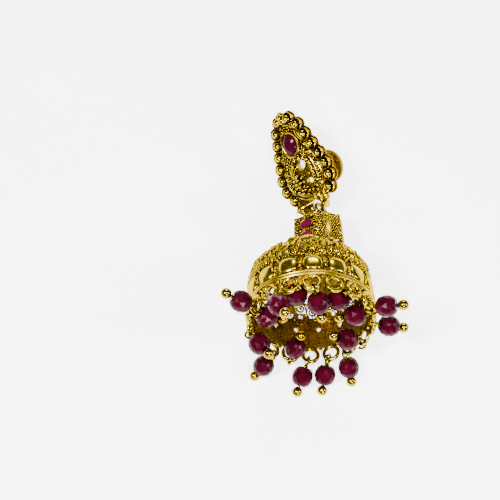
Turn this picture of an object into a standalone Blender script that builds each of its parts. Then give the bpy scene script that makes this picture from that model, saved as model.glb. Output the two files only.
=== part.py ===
"""A gold-coloured jhumka earring lying on a table, in metres with +Z up.

The table's surface is z = 0. The bell lies on its side with its mouth towards -Y. The crown on top of it
hangs by a loop in the ring of the mango-shaped stud, whose post carries a screw nut. Drops of faceted
glass hang from the rings round the bell's rim.
"""

import math

import bmesh
import bpy
from mathutils import Matrix, Vector

MM = 0.001

# Gaps between pieces that are not soldered together
STONE_GAP = 0.25 * MM
WIRE_GAP = 0.30 * MM
BORE_GAP = 0.25 * MM
NUT_GAP = 0.10 * MM
SOLDER_BITE = 0.25 * MM

# Bell: a thin turned shell, its rim at the bottom of its own frame and its crown on top
BELL_STEPS = 22
RIM_RADIUS = 11.7 * MM
RIM_WIRE = 0.35 * MM
BELL_WALL = 0.8 * MM
BAND_HEIGHT = 5.2 * MM
BAND_TAPER = 0.3 * MM
ROPE_BAND_HEIGHT = 1.2 * MM
ROPE_BAND_PROUD = 0.35 * MM
DOME_HEIGHT = 5.5 * MM
DOME_FULLNESS = 1.6
DOME_SHOULDER = 0.45
DOME_ROWS = 3
COLLAR_RADIUS = 5.3 * MM
COLLAR_HEIGHT = 2.1 * MM
COLLAR_NECK = 4.6 * MM
RIDGE_HEIGHT = 1.0 * MM
RIDGE_PROUD = 0.25 * MM

# Trim of the bell
PANEL_COUNT = 8
RIB_WIRE = 0.38 * MM
ARCH_WIRE = 0.30 * MM
ARCH_HALF_ANGLE = math.radians(12.0)
ARCH_FOOT = 0.08
ARCH_TOP = 0.90
ARCH_STEPS = 5
BOSS_COUNT = 16
BOSS_WIDTH = 3.5 * MM
BOSS_HEIGHT = 3.7 * MM
BOSS_PROUD = 0.65 * MM
BOSS_LEVEL = 0.53

# Gaps of one panel: place across it as a share of its half width, place up the dome, radius, sides, turn
PANEL_GAPS = (
    {"across": -0.26, "up": 0.30, "radius": 0.95 * MM, "sides": 5, "turn": 10.0},
    {"across": 0.27, "up": 0.42, "radius": 0.75 * MM, "sides": 5, "turn": 40.0},
    {"across": 0.02, "up": 0.68, "radius": 0.55 * MM, "sides": 4, "turn": 5.0},
    {"across": -0.73, "up": 0.14, "radius": 0.70 * MM, "sides": 3, "turn": 30.0},
    {"across": 0.73, "up": 0.14, "radius": 0.70 * MM, "sides": 3, "turn": -30.0},
)
BAND_HOLE_RADIUS = 0.60 * MM
BAND_HOLE_LEVEL = 0.76

# Rings round the rim
RING_COUNT = 18
RING_START = math.radians(-152.0)
RING_RADIUS = 1.4 * MM
RING_WIRE = 0.30 * MM

# Crown: a six-sided tapering drum, wider than it is deep
CROWN_TURN = math.radians(-8.0)
CROWN_SHIFT = 2.4 * MM
CROWN_HEIGHT = 7.2 * MM
CROWN_BASE = (5.20 * MM, 3.30 * MM)
CROWN_TOP = (4.90 * MM, 3.00 * MM)
CROWN_CAP_HEIGHT = 2.5 * MM
CROWN_CAP_SHARE = 0.65
LINK_SHIFT = 0.7 * MM
LINK_RADIUS = 1.15 * MM
LINK_WIRE = 0.32 * MM
RUBY_FACES = (4, 1)
RUBY_LEVELS = (0.27, 0.68)
SMALL_RUBY = (1.1 * MM, 0.62 * MM)
SMALL_RUBY_HEIGHT = 0.8 * MM
BEZEL_WALL = 0.35 * MM
BEZEL_PROUD = 0.35 * MM
BEZEL_DEPTH = 0.75 * MM

# Drops: a faceted bead on a ball-ended pin whose eye goes round a rim ring
BEAD_SIDES = 10
BEAD_RADIUS = 2.05 * MM
BEAD_HALF_LENGTH = 1.85 * MM
BEAD_END_RADIUS = 1.0 * MM
BEAD_GIRDLE = 0.28
PIN_WIRE = 0.25 * MM
PIN_BALL = 1.0 * MM
EYE_RADIUS = RING_WIRE + WIRE_GAP + PIN_WIRE
EYE_STEM = 0.45 * MM

# How each drop lies: its rim ring, where its eye sits round that ring and its lean out of the ring's plane.
# A drop without a lean rests on the table.
DROPS = (
    {"ring": 0, "side": 0.0, "out": 105.0},
    {"ring": 1, "side": -30.0, "out": 5.0},
    {"ring": 2, "side": -65.0, "out": -110.0},
    {"ring": 3, "side": -25.0, "out": -65.0},
    {"ring": 5, "side": 55.0, "out": -100.0},
    {"ring": 6, "side": -45.0, "out": 75.0},
    {"ring": 7, "side": 50.0, "out": -90.0},
    {"ring": 8, "side": 65.0, "out": 105.0},
    {"ring": 9, "side": -40.0, "out": -90.0},
    {"ring": 10, "side": -42.0},
    {"ring": 11, "side": -30.0},
    {"ring": 12, "side": -25.0},
    {"ring": 13, "side": -5.0, "out": -105.0},
    {"ring": 14, "side": 10.0},
    {"ring": 16, "side": -5.0, "out": -35.0},
    {"ring": 17, "side": -60.0, "out": -95.0},
)

# Stud: the plate's round end, its tip and its border, in its own frame with the ring at the origin
STUD_STEPS = 24
STUD_THICKNESS = 1.2 * MM
BOWL_CENTRE = (0.1 * MM, 5.9 * MM)
BOWL_RADIUS = 4.8 * MM
TIP_CENTRE = (0.1 * MM, 15.7 * MM)
TIP_RADIUS = 1.9 * MM
BORDER_OUTSET = 0.75 * MM
BALL_RADIUS = 0.95 * MM
CUP_RADIUS = 1.35 * MM
CUP_HEIGHT = 1.3 * MM
BORDER_START = math.radians(-38.0)
BORDER_END = math.radians(219.0)
BORDER_COUNT = 16
CREST_BALL = 0.8 * MM
HANG_RING_RADIUS = 1.45 * MM
HANG_RING_WIRE = 0.45 * MM

# Ornament of the stud
STUD_RUBY = (1.55 * MM, 2.05 * MM)
STUD_RUBY_HEIGHT = 1.3 * MM
STUD_RUBY_AT = (0.2 * MM, 13.1 * MM)
STUD_RUBY_TURN = math.radians(-8.0)
STUD_BEZEL_PROUD = 1.0 * MM
ROPE_ARCH_RADIUS = 2.2 * MM
ROPE_ARCH_WIRE = 0.40 * MM
ROPE_ARCH_AT = (0.4 * MM, 7.9 * MM)
ROPE_ARCH_LEG = 3.4 * MM
LEAF_AT = (-2.9 * MM, 0.4 * MM)
LEAF_SIZE = (2.6 * MM, 3.0 * MM, 1.6 * MM)
CURL_AT = (2.7 * MM, 14.3 * MM)
CURL_SIZE = (0.8 * MM, 1.5 * MM, 0.8 * MM)
FLOWER_AT = (-2.3 * MM, 5.2 * MM)
FLOWER_SIZE = (1.3 * MM, 2.2 * MM, 0.9 * MM)

# Gaps through the stud's plate: place, half width, half length, sides
STUD_GAPS = (
    {"at": (0.4 * MM, 8.6 * MM), "size": (1.0 * MM, 0.95 * MM), "sides": 6},
    {"at": (1.0 * MM, 5.0 * MM), "size": (0.8 * MM, 0.6 * MM), "sides": 6},
    {"at": (3.1 * MM, 10.3 * MM), "size": (0.5 * MM, 0.5 * MM), "sides": 5},
    {"at": (-2.8 * MM, 9.2 * MM), "size": (0.5 * MM, 0.5 * MM), "sides": 5},
)

# Post and nut
POST_AT = (0.6 * MM, 6.6 * MM)
POST_RADIUS = 0.5 * MM
POST_SIDES = 12
NUT_RADIUS = 3.5 * MM
NUT_THICKNESS = 0.9 * MM
NUT_TEETH = 24
BARREL_RADIUS = 1.5 * MM
BARREL_LENGTH = 2.6 * MM
POST_INSET = 0.3 * MM

# How the earring lies
BELL_DIP = math.radians(17.5)
BELL_HEADING = math.radians(0.5)
STUD_HEADING = math.radians(23.4)
STUD_PITCH = math.radians(19.8)
STUD_ROLL = math.radians(46.6)

# The sharpest bend that is shaded smooth, on big round forms and on thin wire and small balls
ROUND_SHADING = math.radians(50.0)
WIRE_SHADING = math.radians(75.0)

# Finishes: colour, roughness, metallic
GOLD = ((0.72, 0.49, 0.12), 0.25, 1.0)
RUBY_GLASS = ((0.30, 0.01, 0.07), 0.08, 0.0)

# Heights in the bell's own frame, from its rim
BAND_TOP = BAND_HEIGHT
DOME_BASE = BAND_HEIGHT + ROPE_BAND_HEIGHT
DOME_TOP = DOME_BASE + DOME_HEIGHT
DOME_RADIUS = RIM_RADIUS - BAND_TAPER
COLLAR_TOP = DOME_TOP + COLLAR_HEIGHT
NECK_BASE = COLLAR_TOP + RIDGE_HEIGHT
CROWN_LID = NECK_BASE + CROWN_HEIGHT
LINK_LEVEL = CROWN_LID + CROWN_CAP_HEIGHT + LINK_RADIUS - SOLDER_BITE
RING_LEVEL = -RING_RADIUS - RING_WIRE - RIM_WIRE + SOLDER_BITE


def clear_scene():
    for thing in list(bpy.data.objects):
        bpy.data.objects.remove(thing, do_unlink=True)


def make_collection(name):
    group = bpy.data.collections.new(name)
    bpy.context.scene.collection.children.link(group)
    return group


def make_material(name, finish):
    colour, roughness, metallic = finish
    material = bpy.data.materials.new(name)
    material.use_nodes = True
    shader = material.node_tree.nodes["Principled BSDF"]
    shader.inputs["Base Color"].default_value = (*colour, 1.0)
    shader.inputs["Roughness"].default_value = roughness
    shader.inputs["Metallic"].default_value = metallic
    return material


def make_object(name, mesh, group, material=None, parent=None):
    thing = bpy.data.objects.new(name, mesh)
    group.objects.link(thing)
    if material:
        mesh.materials.clear()
        mesh.materials.append(material)
    if parent:
        thing.parent = parent
    return thing


def make_empty(name, group, matrix):
    empty = bpy.data.objects.new(name, None)
    group.objects.link(empty)
    empty.matrix_world = matrix
    return empty


def mesh_of(name, bm):
    bmesh.ops.recalc_face_normals(bm, faces=bm.faces)
    mesh = bpy.data.meshes.new(name)
    bm.to_mesh(mesh)
    bm.free()
    return mesh


def shade_round(mesh, sharpest):
    """Shade a mesh smooth across edges that bend less than an angle."""
    mesh.shade_smooth()
    mesh.set_sharp_from_angle(angle=sharpest)


def finish_round(thing, sharpest=ROUND_SHADING):
    """Turn a piece's modifiers into its mesh, and shade its round sides smooth."""
    bpy.context.view_layer.update()
    graph = bpy.context.evaluated_depsgraph_get()
    mesh = bpy.data.meshes.new_from_object(thing.evaluated_get(graph))
    mesh.name = thing.name
    thing.modifiers.clear()
    thing.data = mesh
    shade_round(mesh, sharpest)


def make_tool(name, mesh, group, parent, matrix):
    """A cutter, or a form that another solid is joined with."""
    tool = make_object(name, mesh, group, parent=parent)
    tool.matrix_local = matrix
    tool.hide_render = True
    tool.display_type = "WIRE"
    return tool


def add_boolean(thing, operation, group, solver="EXACT"):
    step = thing.modifiers.new(operation.title(), "BOOLEAN")
    step.operation = operation
    step.operand_type = "COLLECTION"
    step.collection = group
    step.solver = solver
    return step


def ring_mesh(name, radius, wire, segments, sides):
    """A ring of wire round the Z axis."""
    bm = bmesh.new()
    place = Matrix.Translation((radius, 0, 0)) @ Matrix.Rotation(math.pi / 2, 4, "X")
    made = bmesh.ops.create_circle(bm, segments=sides, radius=wire, matrix=place)
    edges = {edge for vert in made["verts"] for edge in vert.link_edges}
    bmesh.ops.spin(bm, geom=list(edges), cent=(0, 0, 0), axis=(0, 0, 1), angle=2 * math.pi,
                   steps=segments, use_merge=True)
    bmesh.ops.remove_doubles(bm, verts=bm.verts, dist=0.001 * MM)
    return mesh_of(name, bm)


def cone_mesh(name, low, high, depth, sides, scale=(1, 1, 1)):
    """A cone or prism on the Z axis, its low end at z = 0."""
    bm = bmesh.new()
    bmesh.ops.create_cone(bm, cap_ends=True, segments=sides, radius1=low, radius2=high, depth=depth,
                          matrix=Matrix.Translation((0, 0, depth / 2)))
    bmesh.ops.scale(bm, vec=scale, verts=bm.verts)
    return mesh_of(name, bm)


def bump_mesh(name, size, root, segments, rows):
    """The upper half of a ball on a short straight root that goes into the wall it stands on."""
    bm = bmesh.new()
    bmesh.ops.create_uvsphere(bm, u_segments=segments, v_segments=rows, radius=1.0)
    cut = bmesh.ops.bisect_plane(bm, geom=bm.verts[:] + bm.edges[:] + bm.faces[:], dist=1e-6,
                                 plane_co=(0, 0, 0), plane_no=(0, 0, 1), clear_inner=True)
    bmesh.ops.scale(bm, vec=size, verts=bm.verts)
    rim = [item for item in cut["geom_cut"] if isinstance(item, bmesh.types.BMEdge)]
    grown = bmesh.ops.extrude_edge_only(bm, edges=rim)
    low = [item for item in grown["geom"] if isinstance(item, bmesh.types.BMVert)]
    bmesh.ops.translate(bm, vec=(0, 0, -root), verts=low)
    bmesh.ops.holes_fill(bm, edges=[edge for edge in bm.edges if edge.is_boundary])
    return mesh_of(name, bm)


def ball_mesh(name, size, segments, rows):
    bm = bmesh.new()
    bmesh.ops.create_uvsphere(bm, u_segments=segments, v_segments=rows, radius=1.0)
    bmesh.ops.scale(bm, vec=size, verts=bm.verts)
    return mesh_of(name, bm)


def tube_mesh(name, points, wire, resolution, group):
    """A wire along points, closed at its ends, as a mesh."""
    curve = bpy.data.curves.new(name, "CURVE")
    curve.dimensions = "3D"
    curve.bevel_depth = wire
    curve.bevel_resolution = resolution
    curve.use_fill_caps = True
    spline = curve.splines.new("POLY")
    spline.points.add(len(points) - 1)
    for knot, point in zip(spline.points, points):
        knot.co = (*point, 1.0)
    guide = bpy.data.objects.new(name, curve)
    group.objects.link(guide)
    evaluated = guide.evaluated_get(bpy.context.evaluated_depsgraph_get())
    rough = bpy.data.meshes.new_from_object(evaluated)
    bpy.data.objects.remove(guide, do_unlink=True)
    bm = bmesh.new()
    bm.from_mesh(rough)
    bpy.data.meshes.remove(rough)
    bmesh.ops.remove_doubles(bm, verts=bm.verts, dist=0.001 * MM)
    return mesh_of(name, bm)


def turned_object(name, profile, steps, group, material, parent):
    """A profile of radius and height pairs turned round Z. It runs down its outer side."""
    bm = bmesh.new()
    knots = [bm.verts.new((radius, 0.0, height)) for radius, height in profile]
    for first, second in zip(knots, knots[1:]):
        bm.edges.new((first, second))
    if profile[0][0] > 0:
        bm.edges.new((knots[-1], knots[0]))
    mesh = bpy.data.meshes.new(name)
    bm.to_mesh(mesh)
    bm.free()
    thing = make_object(name, mesh, group, material, parent)
    screw = thing.modifiers.new("Turn", "SCREW")
    screw.axis = "Z"
    screw.angle = 2 * math.pi
    screw.steps = steps
    screw.render_steps = steps
    screw.use_merge_vertices = True
    screw.merge_threshold = 0.002 * MM
    screw.use_smooth_shade = False
    return thing


def dome_radius(share):
    """The dome's outer radius at a share of its height."""
    reach = (1.0 - share ** DOME_FULLNESS) ** DOME_SHOULDER
    return COLLAR_RADIUS + (DOME_RADIUS - COLLAR_RADIUS) * reach


def dome_point(share, angle, lift=0.0):
    radius = dome_radius(share) + lift
    return Vector((radius * math.cos(angle), radius * math.sin(angle), DOME_BASE + DOME_HEIGHT * share))


def dome_frame(share, angle):
    """A place on the dome with its Z axis along the outward normal and its Y axis up the dome."""
    here = dome_point(share, angle)
    above = dome_point(min(share + 0.02, 0.98), angle)
    below = dome_point(max(share - 0.02, 0.0), angle)
    up = (above - below).normalized()
    across = Vector((-math.sin(angle), math.cos(angle), 0.0))
    out = across.cross(up)
    return Matrix.Translation(here) @ Matrix((across, up, out)).transposed().to_4x4()


def band_frame(height, angle, radius):
    across = Vector((-math.sin(angle), math.cos(angle), 0.0))
    up = Vector((0.0, 0.0, 1.0))
    out = across.cross(up)
    here = out * radius + up * height
    return Matrix.Translation(here) @ Matrix((across, up, out)).transposed().to_4x4()


def bell_profile():
    """The shell's outer side from the top down to the rim, then its inner side back up to the axis."""
    shares = [row / DOME_ROWS for row in range(DOME_ROWS, -1, -1)]
    outer = [(0.0, NECK_BASE)]
    outer.append((COLLAR_NECK + RIDGE_PROUD, NECK_BASE - 0.15 * RIDGE_HEIGHT))
    outer.append((COLLAR_NECK + RIDGE_PROUD, COLLAR_TOP + 0.15 * RIDGE_HEIGHT))
    outer.append((COLLAR_NECK, COLLAR_TOP))
    outer += [(dome_radius(share), DOME_BASE + DOME_HEIGHT * share) for share in shares]
    outer += [
        (DOME_RADIUS + ROPE_BAND_PROUD, DOME_BASE - 0.15 * ROPE_BAND_HEIGHT),
        (DOME_RADIUS + ROPE_BAND_PROUD, DOME_BASE - 0.85 * ROPE_BAND_HEIGHT),
        (DOME_RADIUS, BAND_TOP),
        (RIM_RADIUS, 2 * RIM_WIRE),
        (RIM_RADIUS + RIM_WIRE, RIM_WIRE),
        (RIM_RADIUS + RIM_WIRE, -RIM_WIRE),
        (RIM_RADIUS - BELL_WALL, -RIM_WIRE),
    ]
    inner = [(DOME_RADIUS - BELL_WALL, DOME_BASE)]
    for share in shares[-2:0:-1]:
        inner.append((dome_radius(share) - BELL_WALL * (1.0 + 0.4 * share),
                      DOME_BASE + DOME_HEIGHT * share - BELL_WALL * share))
    inner.append((COLLAR_RADIUS - BELL_WALL, DOME_TOP - BELL_WALL))
    inner.append((0.0, DOME_TOP - BELL_WALL))
    return outer + inner


def add_panel_gaps(cutters, parent):
    half = math.pi / PANEL_COUNT
    for panel in range(PANEL_COUNT):
        middle = 2 * panel * half
        for number, gap in enumerate(PANEL_GAPS):
            frame = dome_frame(gap["up"], middle + gap["across"] * half)
            turn = Matrix.Rotation(math.radians(gap["turn"]), 4, "Z")
            sink = Matrix.Translation((0, 0, -2.2 * BELL_WALL))
            mesh = cone_mesh("panel_gap", gap["radius"], gap["radius"], 3.6 * BELL_WALL, gap["sides"])
            make_tool(f"panel_gap_{panel}_{number}", mesh, cutters, parent, frame @ turn @ sink)


def add_band_holes(cutters, parent):
    for place in range(BOSS_COUNT):
        angle = (place + 0.5) * 2 * math.pi / BOSS_COUNT
        frame = band_frame(BAND_HEIGHT * BAND_HOLE_LEVEL, angle, RIM_RADIUS - 2.2 * BELL_WALL)
        mesh = cone_mesh("band_hole", BAND_HOLE_RADIUS, BAND_HOLE_RADIUS, 3.6 * BELL_WALL, 4)
        make_tool(f"band_hole_{place}", mesh, cutters, parent, frame)


def add_bosses(trim, parent):
    size = (BOSS_WIDTH / 2, BOSS_HEIGHT / 2, BOSS_PROUD)
    for place in range(BOSS_COUNT):
        angle = place * 2 * math.pi / BOSS_COUNT
        frame = band_frame(BAND_HEIGHT * BOSS_LEVEL, angle, RIM_RADIUS - 0.5 * BAND_TAPER)
        make_tool(f"boss_{place}", bump_mesh("boss", size, 0.5 * BELL_WALL, 6, 4), trim, parent, frame)


def add_ribs(trim, parent):
    for panel in range(PANEL_COUNT):
        angle = (2 * panel + 1) * math.pi / PANEL_COUNT + math.radians(0.7)
        points = [dome_point(share, angle, 0.1 * RIB_WIRE) for share in (0.0, 0.35, 0.7, 0.99)]
        make_tool(f"rib_{panel}", tube_mesh("rib", points, RIB_WIRE, 0, trim), trim, parent, Matrix())


def arch_points(middle):
    """A pointed arch on one panel, foot to foot."""
    points = []
    for step in range(ARCH_STEPS + 1):
        sweep = math.pi * step / ARCH_STEPS
        across = math.cos(sweep) * (1.0 - 0.12 * math.sin(sweep))
        up = ARCH_FOOT + (ARCH_TOP - ARCH_FOOT) * math.sin(sweep) ** 0.85
        points.append(dome_point(up, middle + across * ARCH_HALF_ANGLE, 0.15 * ARCH_WIRE))
    return points


def add_arches(trim, parent):
    for panel in range(PANEL_COUNT):
        middle = 2 * panel * math.pi / PANEL_COUNT
        mesh = tube_mesh("arch", arch_points(middle), ARCH_WIRE, 0, trim)
        make_tool(f"arch_{panel}", mesh, trim, parent, Matrix())


def ring_angle(place):
    return RING_START + place * 2 * math.pi / RING_COUNT


def ring_frame(place):
    """The middle of one rim ring: X along the rim, Y out of the bell and Z along its axis."""
    angle = ring_angle(place)
    return (Matrix.Rotation(angle - math.pi / 2, 4, "Z")
            @ Matrix.Translation((0.0, RIM_RADIUS - 0.5 * RIM_WIRE, RING_LEVEL)))


def add_rim_rings(trim, parent):
    lay = Matrix.Rotation(math.pi / 2, 4, "X") @ Matrix.Rotation(math.radians(7.0), 4, "Z")
    for place in range(RING_COUNT):
        mesh = ring_mesh("rim_ring", RING_RADIUS, RING_WIRE, 10, 5)
        make_tool(f"rim_ring_{place}", mesh, trim, parent, ring_frame(place) @ lay)


def crown_place(height=0.0):
    """The crown stands beside the bell's axis. Its X axis runs along its broad side."""
    return Matrix.Translation((CROWN_SHIFT, 0, height)) @ Matrix.Rotation(CROWN_TURN, 4, "Z")


def crown_face(face, level):
    """A place on one face of the drum: X along the face, Y up it and Z out of it."""
    corners = []
    for size, height in ((CROWN_BASE, NECK_BASE), (CROWN_TOP, CROWN_LID)):
        for side in (face, face + 1):
            angle = side * math.pi / 3 - math.pi / 6
            corners.append(Vector((size[0] * math.cos(angle), size[1] * math.sin(angle), height)))
    low = (corners[0] + corners[1]) / 2
    high = (corners[2] + corners[3]) / 2
    across = (corners[1] - corners[0]).normalized()
    up = (high - low).normalized()
    turn = Matrix((across, up, across.cross(up))).transposed().to_4x4()
    return crown_place() @ Matrix.Translation(low.lerp(high, level)) @ turn


def add_crown(trim, parent):
    bm = bmesh.new()
    depth = CROWN_HEIGHT + SOLDER_BITE
    rise = Matrix.Translation((0, 0, NECK_BASE - SOLDER_BITE + depth / 2))
    bmesh.ops.create_cone(bm, cap_ends=True, segments=6, radius1=1.0, radius2=1.0, depth=depth,
                          matrix=rise @ Matrix.Rotation(math.pi / 6, 4, "Z"))
    for vert in bm.verts:
        size = CROWN_BASE if vert.co.z < NECK_BASE else CROWN_TOP
        vert.co.x *= size[0]
        vert.co.y *= size[1]
    make_tool("crown_drum", mesh_of("crown_drum", bm), trim, parent, crown_place())
    scale = (CROWN_TOP[0] / CROWN_TOP[1], 1, 1)
    width = CROWN_CAP_SHARE * CROWN_TOP[1]
    cap = cone_mesh("crown_cap", width, 0.55 * width, CROWN_CAP_HEIGHT + SOLDER_BITE, 8, scale)
    make_tool("crown_cap", cap, trim, parent, crown_place(CROWN_LID - SOLDER_BITE))


def add_crown_bezels(trim, cutters, parent):
    """The bezels stand on the drum's faces, and each has a pocket that its stone sits in."""
    for face in RUBY_FACES:
        for row, level in enumerate(RUBY_LEVELS):
            frame = crown_face(face, level)
            wall = STONE_GAP + BEZEL_WALL
            shape = (SMALL_RUBY[0] + wall, SMALL_RUBY[1] + wall, 1)
            depth = BEZEL_PROUD + SOLDER_BITE
            mesh = cone_mesh("small_bezel", 1.0, 1.0, depth, 8, shape)
            root = Matrix.Translation((0, 0, -SOLDER_BITE))
            make_tool(f"bezel_{face}_{row}", mesh, trim, parent, frame @ root)
            pocket = (SMALL_RUBY[0] + STONE_GAP, SMALL_RUBY[1] + STONE_GAP, 1)
            mesh = cone_mesh("small_pocket", 1.0, 1.0, BEZEL_DEPTH + BEZEL_PROUD, 8, pocket)
            sink = Matrix.Translation((0, 0, BEZEL_PROUD - BEZEL_DEPTH))
            make_tool(f"pocket_{face}_{row}", mesh, cutters, parent, frame @ sink)


def stone_mesh(name, size, height, sides):
    """An oval stone with a table and a ring of facets, its culet side flat on z = 0."""
    bm = bmesh.new()
    bmesh.ops.create_cone(bm, cap_ends=True, segments=sides, radius1=1.0, radius2=0.62, depth=0.4 * height,
                          matrix=Matrix.Translation((0, 0, 0.8 * height)))
    low = [vert for vert in bm.verts if vert.co.z < 0.7 * height]
    base = next(face for face in bm.faces if all(vert in low for vert in face.verts))
    grown = bmesh.ops.extrude_face_region(bm, geom=[base])
    lower = [item for item in grown["geom"] if isinstance(item, bmesh.types.BMVert)]
    bmesh.ops.delete(bm, geom=[base], context="FACES_ONLY")
    bmesh.ops.translate(bm, vec=(0, 0, -0.6 * height), verts=lower)
    bmesh.ops.scale(bm, vec=(0.6, 0.6, 1), verts=lower)
    bmesh.ops.scale(bm, vec=(size[0], size[1], 1), verts=bm.verts)
    return mesh_of(name, bm)


def add_crown_rubies(group, material, parent):
    number = 0
    for face in RUBY_FACES:
        for level in RUBY_LEVELS:
            number += 1
            mesh = stone_mesh("small_ruby", SMALL_RUBY, SMALL_RUBY_HEIGHT, 8)
            stone = make_object(f"crown_ruby_{number}", mesh, group, material, parent)
            sink = Matrix.Translation((0, 0, BEZEL_PROUD - BEZEL_DEPTH + STONE_GAP))
            stone.matrix_local = crown_face(face, level) @ sink


def link_turn(bell_place, stud_place):
    """The turn about the bell's axis that puts the top loop square to the stud's ring, and the angle round
    the loop at which the ring's middle lies on the loop's wire."""
    axis = bell_place.col[2].xyz.normalized()
    out = stud_place.col[2].xyz.normalized()
    side = (out - axis * out.dot(axis)).normalized()
    local = bell_place.to_3x3().inverted() @ side
    return math.atan2(local.y, local.x), math.atan2(-out.dot(axis), out.dot(side))


def loop_place(turn):
    return (Matrix.Translation((CROWN_SHIFT + LINK_SHIFT, 0, LINK_LEVEL)) @ Matrix.Rotation(turn, 4, "Z")
            @ Matrix.Rotation(math.pi / 2, 4, "X"))


def add_top_loop(trim, parent, turn):
    mesh = ring_mesh("top_loop", LINK_RADIUS, LINK_WIRE, 12, 6)
    make_tool("top_loop", mesh, trim, parent, loop_place(turn))


def bell_lowest():
    """How far the bell reaches below its rim's middle when it lies tipped."""
    reaches = []
    for radius, height in bell_profile():
        reaches.append(radius * math.cos(BELL_DIP) + height * math.sin(BELL_DIP))
    boss = RIM_RADIUS + BOSS_PROUD
    reaches.append(boss * math.cos(BELL_DIP) + BAND_HEIGHT * BOSS_LEVEL * math.sin(BELL_DIP))
    return max(reaches)


def stud_outline(outset):
    """The plate's outline: a big and a small arc joined by straight sides."""
    bowl = Vector(BOWL_CENTRE)
    tip = Vector(TIP_CENTRE)
    span = tip - bowl
    lean = math.atan2(span.x, span.y)
    spread = math.acos((BOWL_RADIUS - TIP_RADIUS) / span.length)
    points = []
    for centre, radius, first, last in (
        (tip, TIP_RADIUS + outset, math.pi / 2 - spread, math.pi / 2 + spread),
        (bowl, BOWL_RADIUS + outset, math.pi / 2 + spread, 5 * math.pi / 2 - spread),
    ):
        count = max(3, round(STUD_STEPS * (last - first) / (2 * math.pi)))
        for step in range(count + 1):
            angle = first + (last - first) * step / count - lean
            points.append(centre + radius * Vector((math.cos(angle), math.sin(angle))))
    return points


def border_places():
    """Evenly spaced places along the outline, from low on the right over the tip to low on the left."""
    loop = stud_outline(BORDER_OUTSET)
    loop.append(loop[0])
    bowl = Vector(BOWL_CENTRE)
    lengths = [0.0]
    for first, second in zip(loop, loop[1:]):
        lengths.append(lengths[-1] + (second - first).length)

    def place_at(length):
        length %= lengths[-1]
        for index in range(len(loop) - 1):
            if length <= lengths[index + 1]:
                part = (length - lengths[index]) / (lengths[index + 1] - lengths[index])
                return loop[index].lerp(loop[index + 1], part)
        return loop[-1]

    def length_at(angle):
        best = min(range(720), key=lambda step: abs((place_at(lengths[-1] * step / 720) - bowl).angle_signed(
            Vector((math.cos(angle), math.sin(angle))))))
        return lengths[-1] * best / 720

    first = length_at(BORDER_START)
    last = length_at(BORDER_END)
    span = (last - first) % lengths[-1]
    return [place_at(first + span * step / (BORDER_COUNT - 1)) for step in range(BORDER_COUNT)]


def plate_mesh(name, points, thickness, group):
    """A flat outline as a plate, its underside at z = 0."""
    curve = bpy.data.curves.new(name, "CURVE")
    curve.dimensions = "2D"
    curve.fill_mode = "BOTH"
    curve.extrude = thickness / 2
    spline = curve.splines.new("POLY")
    spline.points.add(len(points) - 1)
    for knot, point in zip(spline.points, points):
        knot.co = (point.x, point.y, 0.0, 1.0)
    spline.use_cyclic_u = True
    guide = bpy.data.objects.new(name, curve)
    group.objects.link(guide)
    evaluated = guide.evaluated_get(bpy.context.evaluated_depsgraph_get())
    rough = bpy.data.meshes.new_from_object(evaluated)
    bpy.data.objects.remove(guide, do_unlink=True)
    bm = bmesh.new()
    bm.from_mesh(rough)
    bpy.data.meshes.remove(rough)
    bmesh.ops.remove_doubles(bm, verts=bm.verts, dist=0.001 * MM)
    bmesh.ops.translate(bm, vec=(0, 0, thickness / 2), verts=bm.verts)
    return mesh_of(name, bm)


def raised(place, height=0.0):
    return Matrix.Translation((place[0], place[1], height))


def add_stud_border(trim, parent):
    for number, place in enumerate(border_places()):
        cup = cone_mesh("cup", CUP_RADIUS, CUP_RADIUS, CUP_HEIGHT, 6)
        turn = Matrix.Rotation(0.17 * number, 4, "Z")
        make_tool(f"cup_{number}", cup, trim, parent, raised(place, 0.05 * MM) @ turn)
        ball = ball_mesh("ball", [BALL_RADIUS] * 3, 8, 4)
        make_tool(f"ball_{number}", ball, trim, parent, raised(place, CUP_HEIGHT + 0.2 * BALL_RADIUS) @ turn)


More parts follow.
